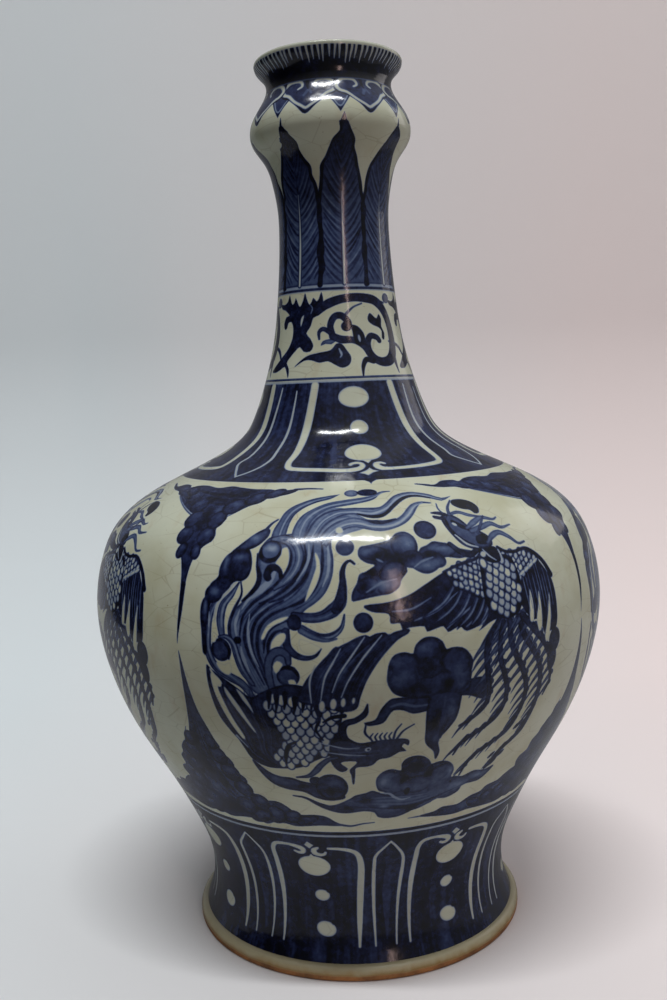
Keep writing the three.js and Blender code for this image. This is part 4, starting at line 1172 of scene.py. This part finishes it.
LOWER_ROWS, UPPER_ROWS = 100, 82
belly_rows = np.append(skin_rows(FOOT_SEAM, BELLY_SEAM, LOWER_ROWS),
                       skin_rows(BELLY_SEAM, SHOULDER_SEAM, UPPER_ROWS)[1:])
belly_canvas = Canvas(radius=BELLY_RADIUS, left=-87, repeats=4, cells=200, rows=belly_rows)
for paint in (paint_corner_clouds, paint_tail_bundle, paint_tail_streams, paint_tail_curls,
              paint_edge_clouds, paint_small_clouds, paint_lower_bird, paint_upper_bird, paint_belly_rings):
    paint(belly_canvas)
for node, first, last, top, bottom in (
        ("lower_body", 0, LOWER_ROWS, BELLY_SEAM, FOOT_SEAM),
        ("upper_body", LOWER_ROWS, LOWER_ROWS + UPPER_ROWS, SHOULDER_SEAM, BELLY_SEAM)):
    body_lining = lining(top, bottom, 10)
    body = painted(node, belly_canvas, first, last, skin_ring, body_lining, bands=2)
    finish_piece(body, "glaze", node, painted_glaze)

# Shoulder cone
# The thrown section where the body draws in to the neck, painted with hanging lappets on a dark ground.
# Four wide panels hold three beads over a pair of scrolls, and narrow pointed ones hang between them.


def paint_hanging_lappets(c):
    """The narrow panels' tips aren't evenly spaced: the front pair is wider apart than the rest, and the
    wide panel between two tips is narrowed or widened to suit."""
    c.ground(306.3, 380.6, tone=0.92, streak=0.42, seed=3)
    c.band(380.5, 381.9, 0.18)
    tips = np.radians([-39.3, 58.1, 145.6, 233.1, 320.7]) * c.radius
    for low, high in zip(tips[:-1], tips[1:]):
        middle, k = (low + high) / 2, (high - low) / (tips[1] - tips[0])

        def wide(points):
            return [(middle + k * x, s) for x, s in points]

        c.line(wide([(-33.1, 379), (-35.1, 365), (-36.7, 350), (-37.3, 335), (-38.3, 326), (-36.5, 320.4),
                     (-31.5, 318.8), (-21.5, 317.7), (-11.5, 316.4), (-7, 316.6)]),
               (4.6, 4.8, 5, 4.6, 4, 3.8, 4, 4), 0.03, 0.2)
        c.line(wide([(35.5, 379), (37.5, 365), (39.1, 350), (38.7, 335), (38.5, 326), (36.5, 320),
                     (29.5, 317.8), (18.5, 316.6), (9.5, 316.3)]), (4.6, 4.8, 5, 4.6, 4.2, 3.8, 3.4, 3.2),
               0.03, 0.2)
        for x, s, across, up in ((-0.5, 371.6, 12.8, 6.2), (1, 353.5, 6.6, 4.6), (-0.5, 333.4, 10, 7.8)):
            c.disc(middle + k * x, s, across * k, up, 0, 0.02, 0.2)
        c.shape(wide([(-2.4, 327), (0.4, 322.2), (3, 327)]), 0.02, 0.2, smooth=False)
        c.line(wide([(-8.5, 316.4), (-4.7, 317.6), (-2.8, 320), (-2.9, 322.6), (-5.1, 323.8), (-7.5, 322.9),
                     (-8.1, 322)]), (4, 4.2, 3.5, 2.8, 2.4, 2.3), 0.04, 0.2)
        c.line(wide([(9.5, 316.3), (5.7, 317), (3.9, 319.4), (4.1, 322), (6.1, 322.9), (7.8, 321.8)]),
               (3.2, 3.8, 4.6, 4, 2.4, 1.8), 0.04, 0.2)
        c.shape(wide([(0.1, 318.4), (1.3, 315.9), (3.7, 314.4), (0.9, 313), (-1.5, 310.2), (-2.9, 312),
                      (-5, 313.1), (-2.2, 315.2), (-0.9, 316.6)]), 0.04, 0.2, smooth=False)
        for outer in ([(-6.5, 325.6), (-2.5, 325.2), (-0.6, 323.4)],
                      [(7, 325.2), (3, 324.6), (1.1, 322.8)]):
            way = 1 if outer[0][0] < 0 else -1
            c.line(wide([*outer, (0.3, 320.6), (0.1 - 1.2 * way, 317.7), (-0.2 - 3.7 * way, 315.2),
                         (0.4 - 6.1 * way, 313.8)]), (0.7, 1, 1.2, 1, 0.8), 0.93, 0.93)
        c.line([(low - 7.5, 378), (low - 9, 360), (low - 8.2, 345), (low - 7.4, 332), (low - 9.2, 324.4),
                (low - 5, 317.6), (low - 0.4, 310.8)], (1, 1.8, 2, 1.8, 1.4), 0.15)
        c.line([(low + 9.5, 376), (low + 8.8, 342), (low + 9.6, 330), (low + 7.6, 322), (low + 4, 316),
                (low - 0.4, 310.8)], (0.9, 1.7, 1.9, 1.5), 0.15)


SHOULDER_ROWS = 64
shoulder_rows = skin_rows(SHOULDER_SEAM, NECK_SEAM, SHOULDER_ROWS)
shoulder_canvas = Canvas(radius=70, left=-95, repeats=1, cells=480, rows=shoulder_rows)
paint_hanging_lappets(shoulder_canvas)
shoulder_lining = lining(NECK_SEAM, SHOULDER_SEAM, 8)
shoulder = painted("shoulder_cone", shoulder_canvas, 0, SHOULDER_ROWS, skin_ring, shoulder_lining, bands=2)
finish_piece(shoulder, "cobalt_ground", "shoulder_cone", painted_glaze)

# Neck tube, garlic bulb and mouth rim
# Three thrown sections: the narrow neck with a leafy scroll and stiff banana leaves, the bulb with ruyi
# heads under a black throat, and the flaring rim with short brush strokes that hang from a pale lip.
LIP_ROUND = LIP_THICKNESS / 2
LIP_RINGS = 8
NECK_ROWS, BULB_ROWS, RIM_ROWS = 105, 77, 16
LEAVES, RUYI_HEADS, RIM_STROKES = 8, 8, 84
LEAF_PITCH, RUYI_PITCH = 28.27, 34.56


def paint_scroll(c):
    """Neck: a leafy scroll between two ring lines, three times round."""
    c.band(381.9, 383.5, DEEP)
    for turn in range(3):
        o = turn * c.width / 3

        def at(points):
            return [(x + o, s) for x, s in points]

        c.line(at([(-48, 403.2), (-41.5, 401.4), (-38.4, 399), (-36.6, 395.8)]), (0.8, 1.6, 2.2, 1.6), DARK)
        c.shape(at([(-43, 388.4), (-39, 387.6), (-35, 389), (-31.6, 390.6), (-29.6, 387.6), (-27.8, 384),
                    (-28.2, 389), (-30.4, 392.8), (-28.8, 395.6), (-25.4, 399.2), (-22.4, 401.6),
                    (-19.6, 398.8), (-15.8, 398.6), (-14, 401.6), (-16, 406), (-18.6, 409), (-16, 413),
                    (-14.4, 417.5), (-11, 419), (-8.6, 424), (-8.2, 427.6), (-9.3, 431.6), (-10.8, 428),
                    (-12.2, 426.6), (-13.2, 427.6), (-14.6, 428.6), (-15.4, 426.8), (-17, 425),
                    (-18.6, 427.6), (-20.2, 431.6), (-21.6, 427.4), (-23.8, 424.2), (-25.6, 426.6),
                    (-27.4, 429.4), (-28.4, 427), (-30.2, 426), (-31.6, 428.4), (-33, 431.6), (-34.6, 428),
                    (-38, 426.4), (-43, 426.8), (-41, 424.2), (-36.6, 423), (-32.4, 420), (-35.6, 419.2),
                    (-37.4, 415.4), (-36.2, 412.4), (-34.2, 412.8), (-33, 415.8), (-30.2, 416.2),
                    (-28.4, 412.6), (-28.4, 407), (-31, 400.8), (-36.4, 395.2)]), 0.93, INK)
        c.shape(at([(-22.6, 413), (-21.4, 416), (-20.6, 419.4), (-22.2, 418.4), (-23, 415.6)]), 0.1)
        c.line(at([(-16, 420), (-15, 423), (-16.6, 425)]), (0.5, 0.8, 0.4), 0.4)
        c.line(at([(-12, 420.6), (-6.4, 424.4), (1.4, 427), (10, 428), (18, 427.6), (25, 426),
                   (30.6, 421.4), (34, 414.6), (35, 406.6), (33.8, 398.6), (30.4, 393), (25, 391.2),
                   (20, 393), (17, 397.6), (16.8, 402.6), (19, 406.2), (23, 405.4), (24.4, 403.6)]),
               (4, 5.2, 4.6, 4.6, 5, 5.2, 5, 5, 5.6, 6, 5, 4, 3.6, 3), 0.9, INK)
        c.disc(34.6 + o, 427.8, 3.1, 2.8, 0, DEEP, DARK)
        c.line(at([(28, 425.6), (32, 425.2)]), (2, 1), DARK)
        c.line(at([(5.3, 419), (9.8, 422.6), (15.3, 424.6)]), (1.6, 1, 0.8), DEEP)
        c.line(at([(-3, 407), (-4.2, 412.6), (-1.8, 417.4), (2.4, 418), (6, 414.6), (6.4, 412)]),
               (3.6, 3.6, 3.8, 3.8, 3.6), 0.93, INK)
        c.disc(5 + o, 412, 3, 2.8, 0, INK, INK)
        c.line(at([(-10.6, 405.4), (-10.8, 409.2), (-8.4, 411), (-5.2, 409.4), (-2, 406)]),
               (1.2, 2, 2.6, 2.6, 3), DARK, INK)
        c.shape(at([(-9.6, 401.6), (-8.4, 404.2), (-3.8, 405.2), (-1, 404.4), (-3.8, 402.2), (-7, 402.6)]),
                MID, DARK)
        c.line(at([(-3, 406.6), (2, 404.6), (7, 404.4), (11, 403), (14.6, 400), (16.6, 395.8)]),
               (4, 4.4, 3.6, 3.6, 3), 0.9, INK)
        c.shape(at([(7.6, 412.6), (11.6, 411.8), (14.8, 408), (15.4, 403.4), (13.4, 400.6), (10.6, 401.6),
                    (8.8, 404.6), (8.4, 409)]), INK, INK)
        c.disc(12 + o, 405, 0.8, 2.1, 8, 0.15, 0.3)
        c.shape(at([(-24.4, 390.2), (-21, 393.6), (-16.5, 396.4), (-10.2, 397.7), (-4.2, 398.9),
                    (-1, 402.4), (2, 402), (4.4, 398.4), (6.4, 394.6), (5.4, 390.4), (1.6, 388.6),
                    (-2.2, 390.6), (-5.6, 392.6), (-10.2, 392), (-14.7, 393.6), (-19, 393.4)]), 0.9, INK)
        c.line(at([(0.4, 399.4), (1.6, 396.2), (0.8, 394.6)]), (0.8, 1.4, 0.6), 0.25)
        c.shape(at([(18.6, 417), (20.3, 419.2), (22.6, 417.4), (24.8, 416.2), (26.6, 418.6), (28.2, 416),
                    (27.6, 411.6), (29.2, 408), (28.2, 404.2), (26.8, 405.3), (27.4, 409), (25.3, 411.2),
                    (21.6, 412.5), (18.8, 414.6)]), INK, INK)
        c.line(at([(18.4, 392), (14.6, 392.8), (12.4, 389), (11.8, 383.6)]), (3.4, 3, 2, 0.8), INK)
        c.line(at([(33.4, 394), (33.8, 389), (34.4, 385)]), (3, 2, 0.7), DARK)
    c.band(432.5, 434.1, DARK)
    c.band(434.1, 435.6, 0.24)
    c.band(431.9, 432.5, 0.2)


def paint_leaves(c):
    """Stiff banana leaves that stand on the scroll band and reach up over the bulb. steps, left and right
    give a leaf's edges for a pitch of LEAF_PITCH mm, and k fits them to the canvas."""
    draw = np.random.default_rng(8)
    unit = c.width / LEAVES
    k = unit / LEAF_PITCH
    foot, top, tip, middle = 435.6, 525, 6.3, 5.6
    steps = [foot, 448, 456, 463, 472, 480, 483, 487, 492, 499, 502, 506, 510, 513, 517, 521, top]
    left = [-8.2, -8.4, -7.6, -8.6, -8.2, -9.2, -8, -6.5, -6.5, -5, -3.5, -1, 0, 1.5, 3.5, 5, 6.2]
    right = [20, 20.4, 19.4, 20.2, 19.6, 20.4, 19.2, 18.4, 17.2, 15, 14.2, 12.8, 11.6, 10.6, 9.5, 8, 6.4]
    levels = np.arange(foot, top, 2.3)
    for o in unit * np.arange(LEAVES):
        edges = []
        for side in (left, right):
            jag = 0.5 * draw.standard_normal(levels.size)
            edge = np.stack([k * np.interp(levels, steps, side) + jag + o, levels], -1)
            edges.append(np.vstack([edge, (k * tip + o, top + 3)]))
        c.shape(np.vstack([edges[0], edges[1][::-1]]), 0.62, DARK, 1.2, smooth=False)
        rib = k * middle + o
        for i in range(23):
            for side in (left, right):
                s = 428 + 3.8 * i + 1.8 * draw.random()
                rise = 11 + 5 * draw.random()
                end = rib + (np.interp(s + rise, steps, side) * k + o - rib) * (0.8 + 0.12 * draw.random())
                bent = [(rib + (end - rib) * t, s + rise * t**1.5) for t in (0, 0.25, 0.5, 0.75, 1)]
                bent = [place for place in bent if 436 < place[1] < 520]
                if len(bent) > 1:
                    c.line(bent, (0.6, 1.3, 1.3, 0.6), 0.72 + 0.16 * draw.random())
                    c.line([(x, height + 1.9) for x, height in bent], (0.2, 0.9, 0.3),
                           0.42 + 0.16 * draw.random())
        for edge in edges:
            c.line(edge[::2], (2.2, 2, 1.8, 2.2, 2, 1.8, 1.4, 1), INK)
    # Painted shade: the leaves are deepened more and more where they run up over the bulb's underside.
    c.pool(478, 514, 0.7)
    for o in unit * np.arange(LEAVES):
        rib = k * middle + o
        c.line([(rib - 0.5, 436), (rib, 460), (rib + 0.1, 486), (rib + 0.4, 498)], (2.8, 2.6, 1.8, 0.8),
               0.84)
        c.line([(rib - 0.5, 436), (rib, 460), (rib, 480), (rib + 0.2, 486)], (1.2, 1.3, 0.9, 0.3), 0.1)
        c.line([(o - 9.5 * k, foot), (o - 8.9 * k, 446), (o - 9.6 * k, 454), (o - 8.4 * k, 463),
                (o - 8.9 * k, 472), (o - 9.4 * k, 480)], (3, 2.2, 3, 2, 2.6, 1.6), INK)


def paint_ruyi_band(c):
    """Ruyi heads edged in reserved white, with plain points behind them, under a black throat. The shapes
    are given for a pitch of RUYI_PITCH mm, and k fits them to the canvas."""
    unit = c.width / RUYI_HEADS
    k = unit / RUYI_PITCH
    for o in unit * np.arange(RUYI_HEADS):
        p = o + k * 5.8
        c.shape([(p - k * 9, 547), (p - k * 6.4, 538.5), (p, 528.4), (p + k * 6.4, 538.5),
                 (p + k * 9, 547)], 0.72, INK, 1.6, smooth=False)
        c.line([(p - k * 5, 538.6), (p, 531.4), (p + k * 5, 538.6)], (0.8, 1, 0.8), 0.3)
    for o in unit * np.arange(RUYI_HEADS):
        h = o - k * 12.6

        def head(points):
            return [(h + k * x, s) for x, s in points]

        c.shape(head([(-15, 552), (-18.6, 548), (-18.8, 543), (-14.6, 539.2), (-11, 538), (-5.4, 533.2),
                      (0, 528.2), (5.8, 533), (11.4, 538), (15, 539.6), (18.6, 543), (18.4, 548),
                      (15, 552)]), 0.8, INK, 2.2)
        c.line(head([(-6.4, 545), (-4, 546.6), (-5, 549.4), (-9, 550.4), (-14, 549.6), (-17.2, 546),
                     (-15.4, 542.4), (-11.4, 540.6), (-6.6, 536), (-2, 532.8), (0.2, 531.4), (2.6, 532.8),
                     (7, 536), (11.4, 540.4), (15.2, 542.4), (17, 546), (13.6, 549.6), (9, 550.4),
                     (5, 549.4), (3.4, 547), (5, 545.2)]),
               (1.4, 2.2, 2.4, 2.2, 1.8, 1.8, 1.8, 2.2, 2.4, 2.2, 1.4), 0.03, 0.2)
        c.line(head([(-1.6, 540), (0.6, 543.6), (2.6, 541)]), (1.6, 2, 1), 0.6)
        c.line(head([(-0.4, 551), (-0.6, 547), (0.2, 544.4)]), (2.4, 1.6, 0.8), INK)
    c.band(550.4, 551.2, 0.5)
    c.band(551.2, 568.9, INK)


def paint_rim_strokes(c):
    """Short pale gaps between the brush strokes that hang from the lip, each of its own length."""
    draw = np.random.default_rng(4)
    top = 569
    for i in range(RIM_STROKES):
        x = c.left + c.width * (i + 0.3 * draw.random()) / RIM_STROKES
        end = 559 + 4 * draw.random() ** 1.5
        lean = 0.5 * (draw.random() - 0.5)
        c.line([(x, top), (x + lean, (top + end) / 2), (x + 1.6 * lean, end)], (1.6, 1.2, 0.5),
               0.05 + 0.12 * draw.random())
    c.band(568.9, 580, 0.03)


def rim_ring(distance):
    """The skin's ring at a distance up it, which goes on over the rounded lip to the inside."""
    round_lip = (distance - lengths[-1]) / LIP_ROUND
    if round_lip <= 0:
        return skin_ring(distance)
    return (LIP_RADIUS - LIP_ROUND + LIP_ROUND * math.cos(round_lip),
            HEIGHT - LIP_ROUND + LIP_ROUND * math.sin(round_lip))


lip_rows = lengths[-1] + LIP_ROUND * np.linspace(0, math.pi, LIP_RINGS + 1)
neck_rows = np.concatenate([skin_rows(NECK_SEAM, BULB_SEAM, NECK_ROWS),
                            skin_rows(BULB_SEAM, MOUTH_SEAM, BULB_ROWS)[1:],
                            skin_rows(MOUTH_SEAM, heights[-1], RIM_ROWS)[1:],
                            lip_rows[1:]])
neck_canvas = Canvas(radius=38, left=-119, repeats=1, cells=320, rows=neck_rows)
for paint in (paint_scroll, paint_leaves, paint_ruyi_band, paint_rim_strokes):
    paint(neck_canvas)
neck_lining = lining(BULB_SEAM, NECK_SEAM, 8)
neck_piece = painted("neck_tube", neck_canvas, 0, NECK_ROWS, skin_ring, neck_lining, bands=2)
finish_piece(neck_piece, "glaze", "neck_tube", painted_glaze)
bulb_top = NECK_ROWS + BULB_ROWS
bulb_lining = lining(MOUTH_SEAM, BULB_SEAM, 10)
bulb_piece = painted("garlic_bulb", neck_canvas, NECK_ROWS, bulb_top, skin_ring, bulb_lining, bands=2)
finish_piece(bulb_piece, "glaze", "garlic_bulb", painted_glaze)
inside_rim = np.linspace(HEIGHT - 1.5 * LIP_THICKNESS, MOUTH_SEAM + TENON + SLIP, 5)[:-1]
rim_lining = [*((float(bore(z)), z) for z in inside_rim), *rebate_bottom(MOUTH_SEAM)]
lip_inside = bulb_top + RIM_ROWS + LIP_RINGS
rim_piece = painted("mouth_rim", neck_canvas, bulb_top, lip_inside, rim_ring, rim_lining, bands=4)
finish_piece(rim_piece, "cobalt_ground", "mouth_rim", painted_glaze)

# Room
# A pale cloth sweep under and behind the vase, which goes on round it for the camera alone. Soft light
# comes from the ceiling and more from the right, with a narrow lamp overhead in front, a tall narrow one in
# front to the right, and a soft one behind to the right.
ROOM_WIDTH, ROOM_FRONT, ROOM_BACK, ROOM_CURVE, ROOM_TOP = 1.9, -0.22, 0.4, 0.4, 1.4
APRON = 3.0
# Sizes in mm over which the cloth's painted light changes: pinker to the right and lighter upwards.
PAINTED_LIGHT_WIDTH, PAINTED_LIGHT_HEIGHT = 700, 1000
CEILING_FROM, CEILING_RISE, TO_THE_RIGHT, BACKDROP = 0.1, 0.3, 0.9, 0.62
bend = [(ROOM_BACK + ROOM_CURVE * math.sin(a), ROOM_CURVE - ROOM_CURVE * math.cos(a))
        for a in np.linspace(0, math.pi / 2, 33)]
line_back = [(ROOM_FRONT, 0.0), *bend, (ROOM_BACK + ROOM_CURVE, ROOM_TOP)]
cloth_look = Look("pale cloth")
side = cloth_look.node("ShaderNodeSeparateXYZ", {}, {0: cloth_look.place()})
# Painted light: the cloth's colour is lighter upwards and pinker to the right, standing in for the room
# light that falls on it.
across = (side / PAINTED_LIGHT_WIDTH + 0.5).clamp()
low = cloth_look.mix(colour(214, 220, 222), colour(231, 218, 216), across)
high = cloth_look.mix(colour(238, 243, 245), colour(251, 240, 238), across)
cloth = cloth_look.mix(low, high, cloth_look.height().rise(0, PAINTED_LIGHT_HEIGHT))
# Painted shade: the cloth is darker where it is seen in reflections, so the glaze reflects a dimmer floor.
painted_shade_in_reflections = cloth_look.node("ShaderNodeLightPath", {}, {}, "Is Glossy Ray")
cloth = cloth_look.mix(cloth, colour(150, 150, 152), painted_shade_in_reflections)
lit = cloth_look.node("ShaderNodeBsdfPrincipled", {}, {"Base Color": cloth, "Roughness": 0.9})
behind = cloth_look.node("ShaderNodeNewGeometry", {}, {}, "Backfacing")
clear = cloth_look.node("ShaderNodeBsdfTransparent", {}, {})
one_sided = cloth_look.node("ShaderNodeMixShader", {}, {0: behind, 1: lit, 2: clear})
cloth_look.node("ShaderNodeOutputMaterial", {}, {0: one_sided})


def cloth_piece(name, points, faces):
    """A stretch of the cloth, seen from its upper or inner side only."""
    mesh = bpy.data.meshes.new(name)
    mesh.from_pydata(points, [], faces)
    mesh.polygons.foreach_set("use_smooth", [True] * len(faces))
    mesh.materials.append(cloth_look.data)
    obj = bpy.data.objects.new(name, mesh)
    bpy.context.scene.collection.objects.link(obj)
    return obj


cloth_piece("sweep", [(x, y, z) for y, z in line_back for x in (-ROOM_WIDTH / 2, ROOM_WIDTH / 2)],
            [(2 * i, 2 * i + 1, 2 * i + 3, 2 * i + 2) for i in range(len(line_back) - 1)])
inner = [(-ROOM_WIDTH / 2, ROOM_FRONT), (ROOM_WIDTH / 2, ROOM_FRONT),
         (ROOM_WIDTH / 2, ROOM_BACK), (-ROOM_WIDTH / 2, ROOM_BACK)]
outer = [(-APRON, -APRON), (APRON, -APRON), (APRON, APRON), (-APRON, APRON)]
apron = cloth_piece("apron", [(x, y, 0.0) for x, y in inner + outer],
                    [(4, 5, 1, 0), (5, 6, 2, 1), (6, 7, 3, 2), (7, 4, 0, 3)])
apron.visible_diffuse = apron.visible_glossy = False


def lamp(name, place, target, wide, tall, power, tone):
    """A rectangular soft lamp at a place in metres, aimed at a target."""
    data = bpy.data.lights.new(name, "AREA")
    data.shape = "RECTANGLE"
    data.size, data.size_y = wide, tall
    data.energy = power
    data.color = tone
    obj = bpy.data.objects.new(name, data)
    obj.location = place
    obj.rotation_euler = (Vector(target) - Vector(place)).to_track_quat("-Z", "Y").to_euler()
    bpy.context.scene.collection.objects.link(obj)


lamp("overhead", (-0.2, -1.64, 5.92), (0, 0, 0.2), wide=3.1, tall=0.24, power=235, tone=(0.97, 0.99, 1.0))
lamp("strip", (0.42, -1.14, 0.56), (0, 0, 0.40), wide=0.055, tall=0.62, power=1.15, tone=(1.0, 0.7, 0.64))
lamp("right", (1.45, 0.75, 1.1), (0, 0, 0.3), wide=0.9, tall=0.9, power=2.4, tone=(1.0, 0.94, 0.92))
sky = Look("pale room", "worlds")
way = sky.node("ShaderNodeTexCoord", {}, {}, "Generated")
sideways = sky.node("ShaderNodeSeparateXYZ", {}, {0: way})
upwards = sky.node("ShaderNodeSeparateXYZ", {}, {0: way}, 2)
light = (CEILING_FROM + CEILING_RISE * upwards.rise(0.1, 1.0)) * (1 + TO_THE_RIGHT * sideways)
seen = sky.node("ShaderNodeLightPath", {}, {}, "Is Camera Ray")
glow = {"Color": (0.95, 0.97, 1.0, 1), "Strength": light + seen * (BACKDROP - light)}
sky.node("ShaderNodeOutputWorld", {}, {0: sky.node("ShaderNodeBackground", {}, glow)})
bpy.context.scene.world = sky.data

# Camera
# Where the photograph was taken from, with its slight turn, downward pitch and roll. The focal length is
# given as a share of the sensor's width.
CAMERA_PLACE = (0.0, -0.6147, 0.3139)
YAW, PITCH, ROLL = -0.01047, 0.10685, -0.03936
FOCAL_SHARE, SENSOR_WIDTH = 1.0298, 36.0
right_level = Vector((math.cos(YAW), -math.sin(YAW), 0))
up_level = Vector((math.sin(YAW) * math.sin(PITCH), math.cos(YAW) * math.sin(PITCH), math.cos(PITCH)))
forward = Vector((math.sin(YAW) * math.cos(PITCH), math.cos(YAW) * math.cos(PITCH), -math.sin(PITCH)))
right = math.cos(ROLL) * right_level + math.sin(ROLL) * up_level
up = math.cos(ROLL) * up_level - math.sin(ROLL) * right_level
camera_data = bpy.data.cameras.new("camera")
camera_data.sensor_width = SENSOR_WIDTH
camera_data.lens = SENSOR_WIDTH * FOCAL_SHARE
camera = bpy.data.objects.new("camera", camera_data)
turn = Matrix((right, up, -forward)).transposed().to_4x4()
camera.matrix_world = Matrix.Translation(CAMERA_PLACE) @ turn
bpy.context.scene.collection.objects.link(camera)
bpy.context.scene.camera = camera
bpy.context.scene.view_settings.view_transform = "Standard"
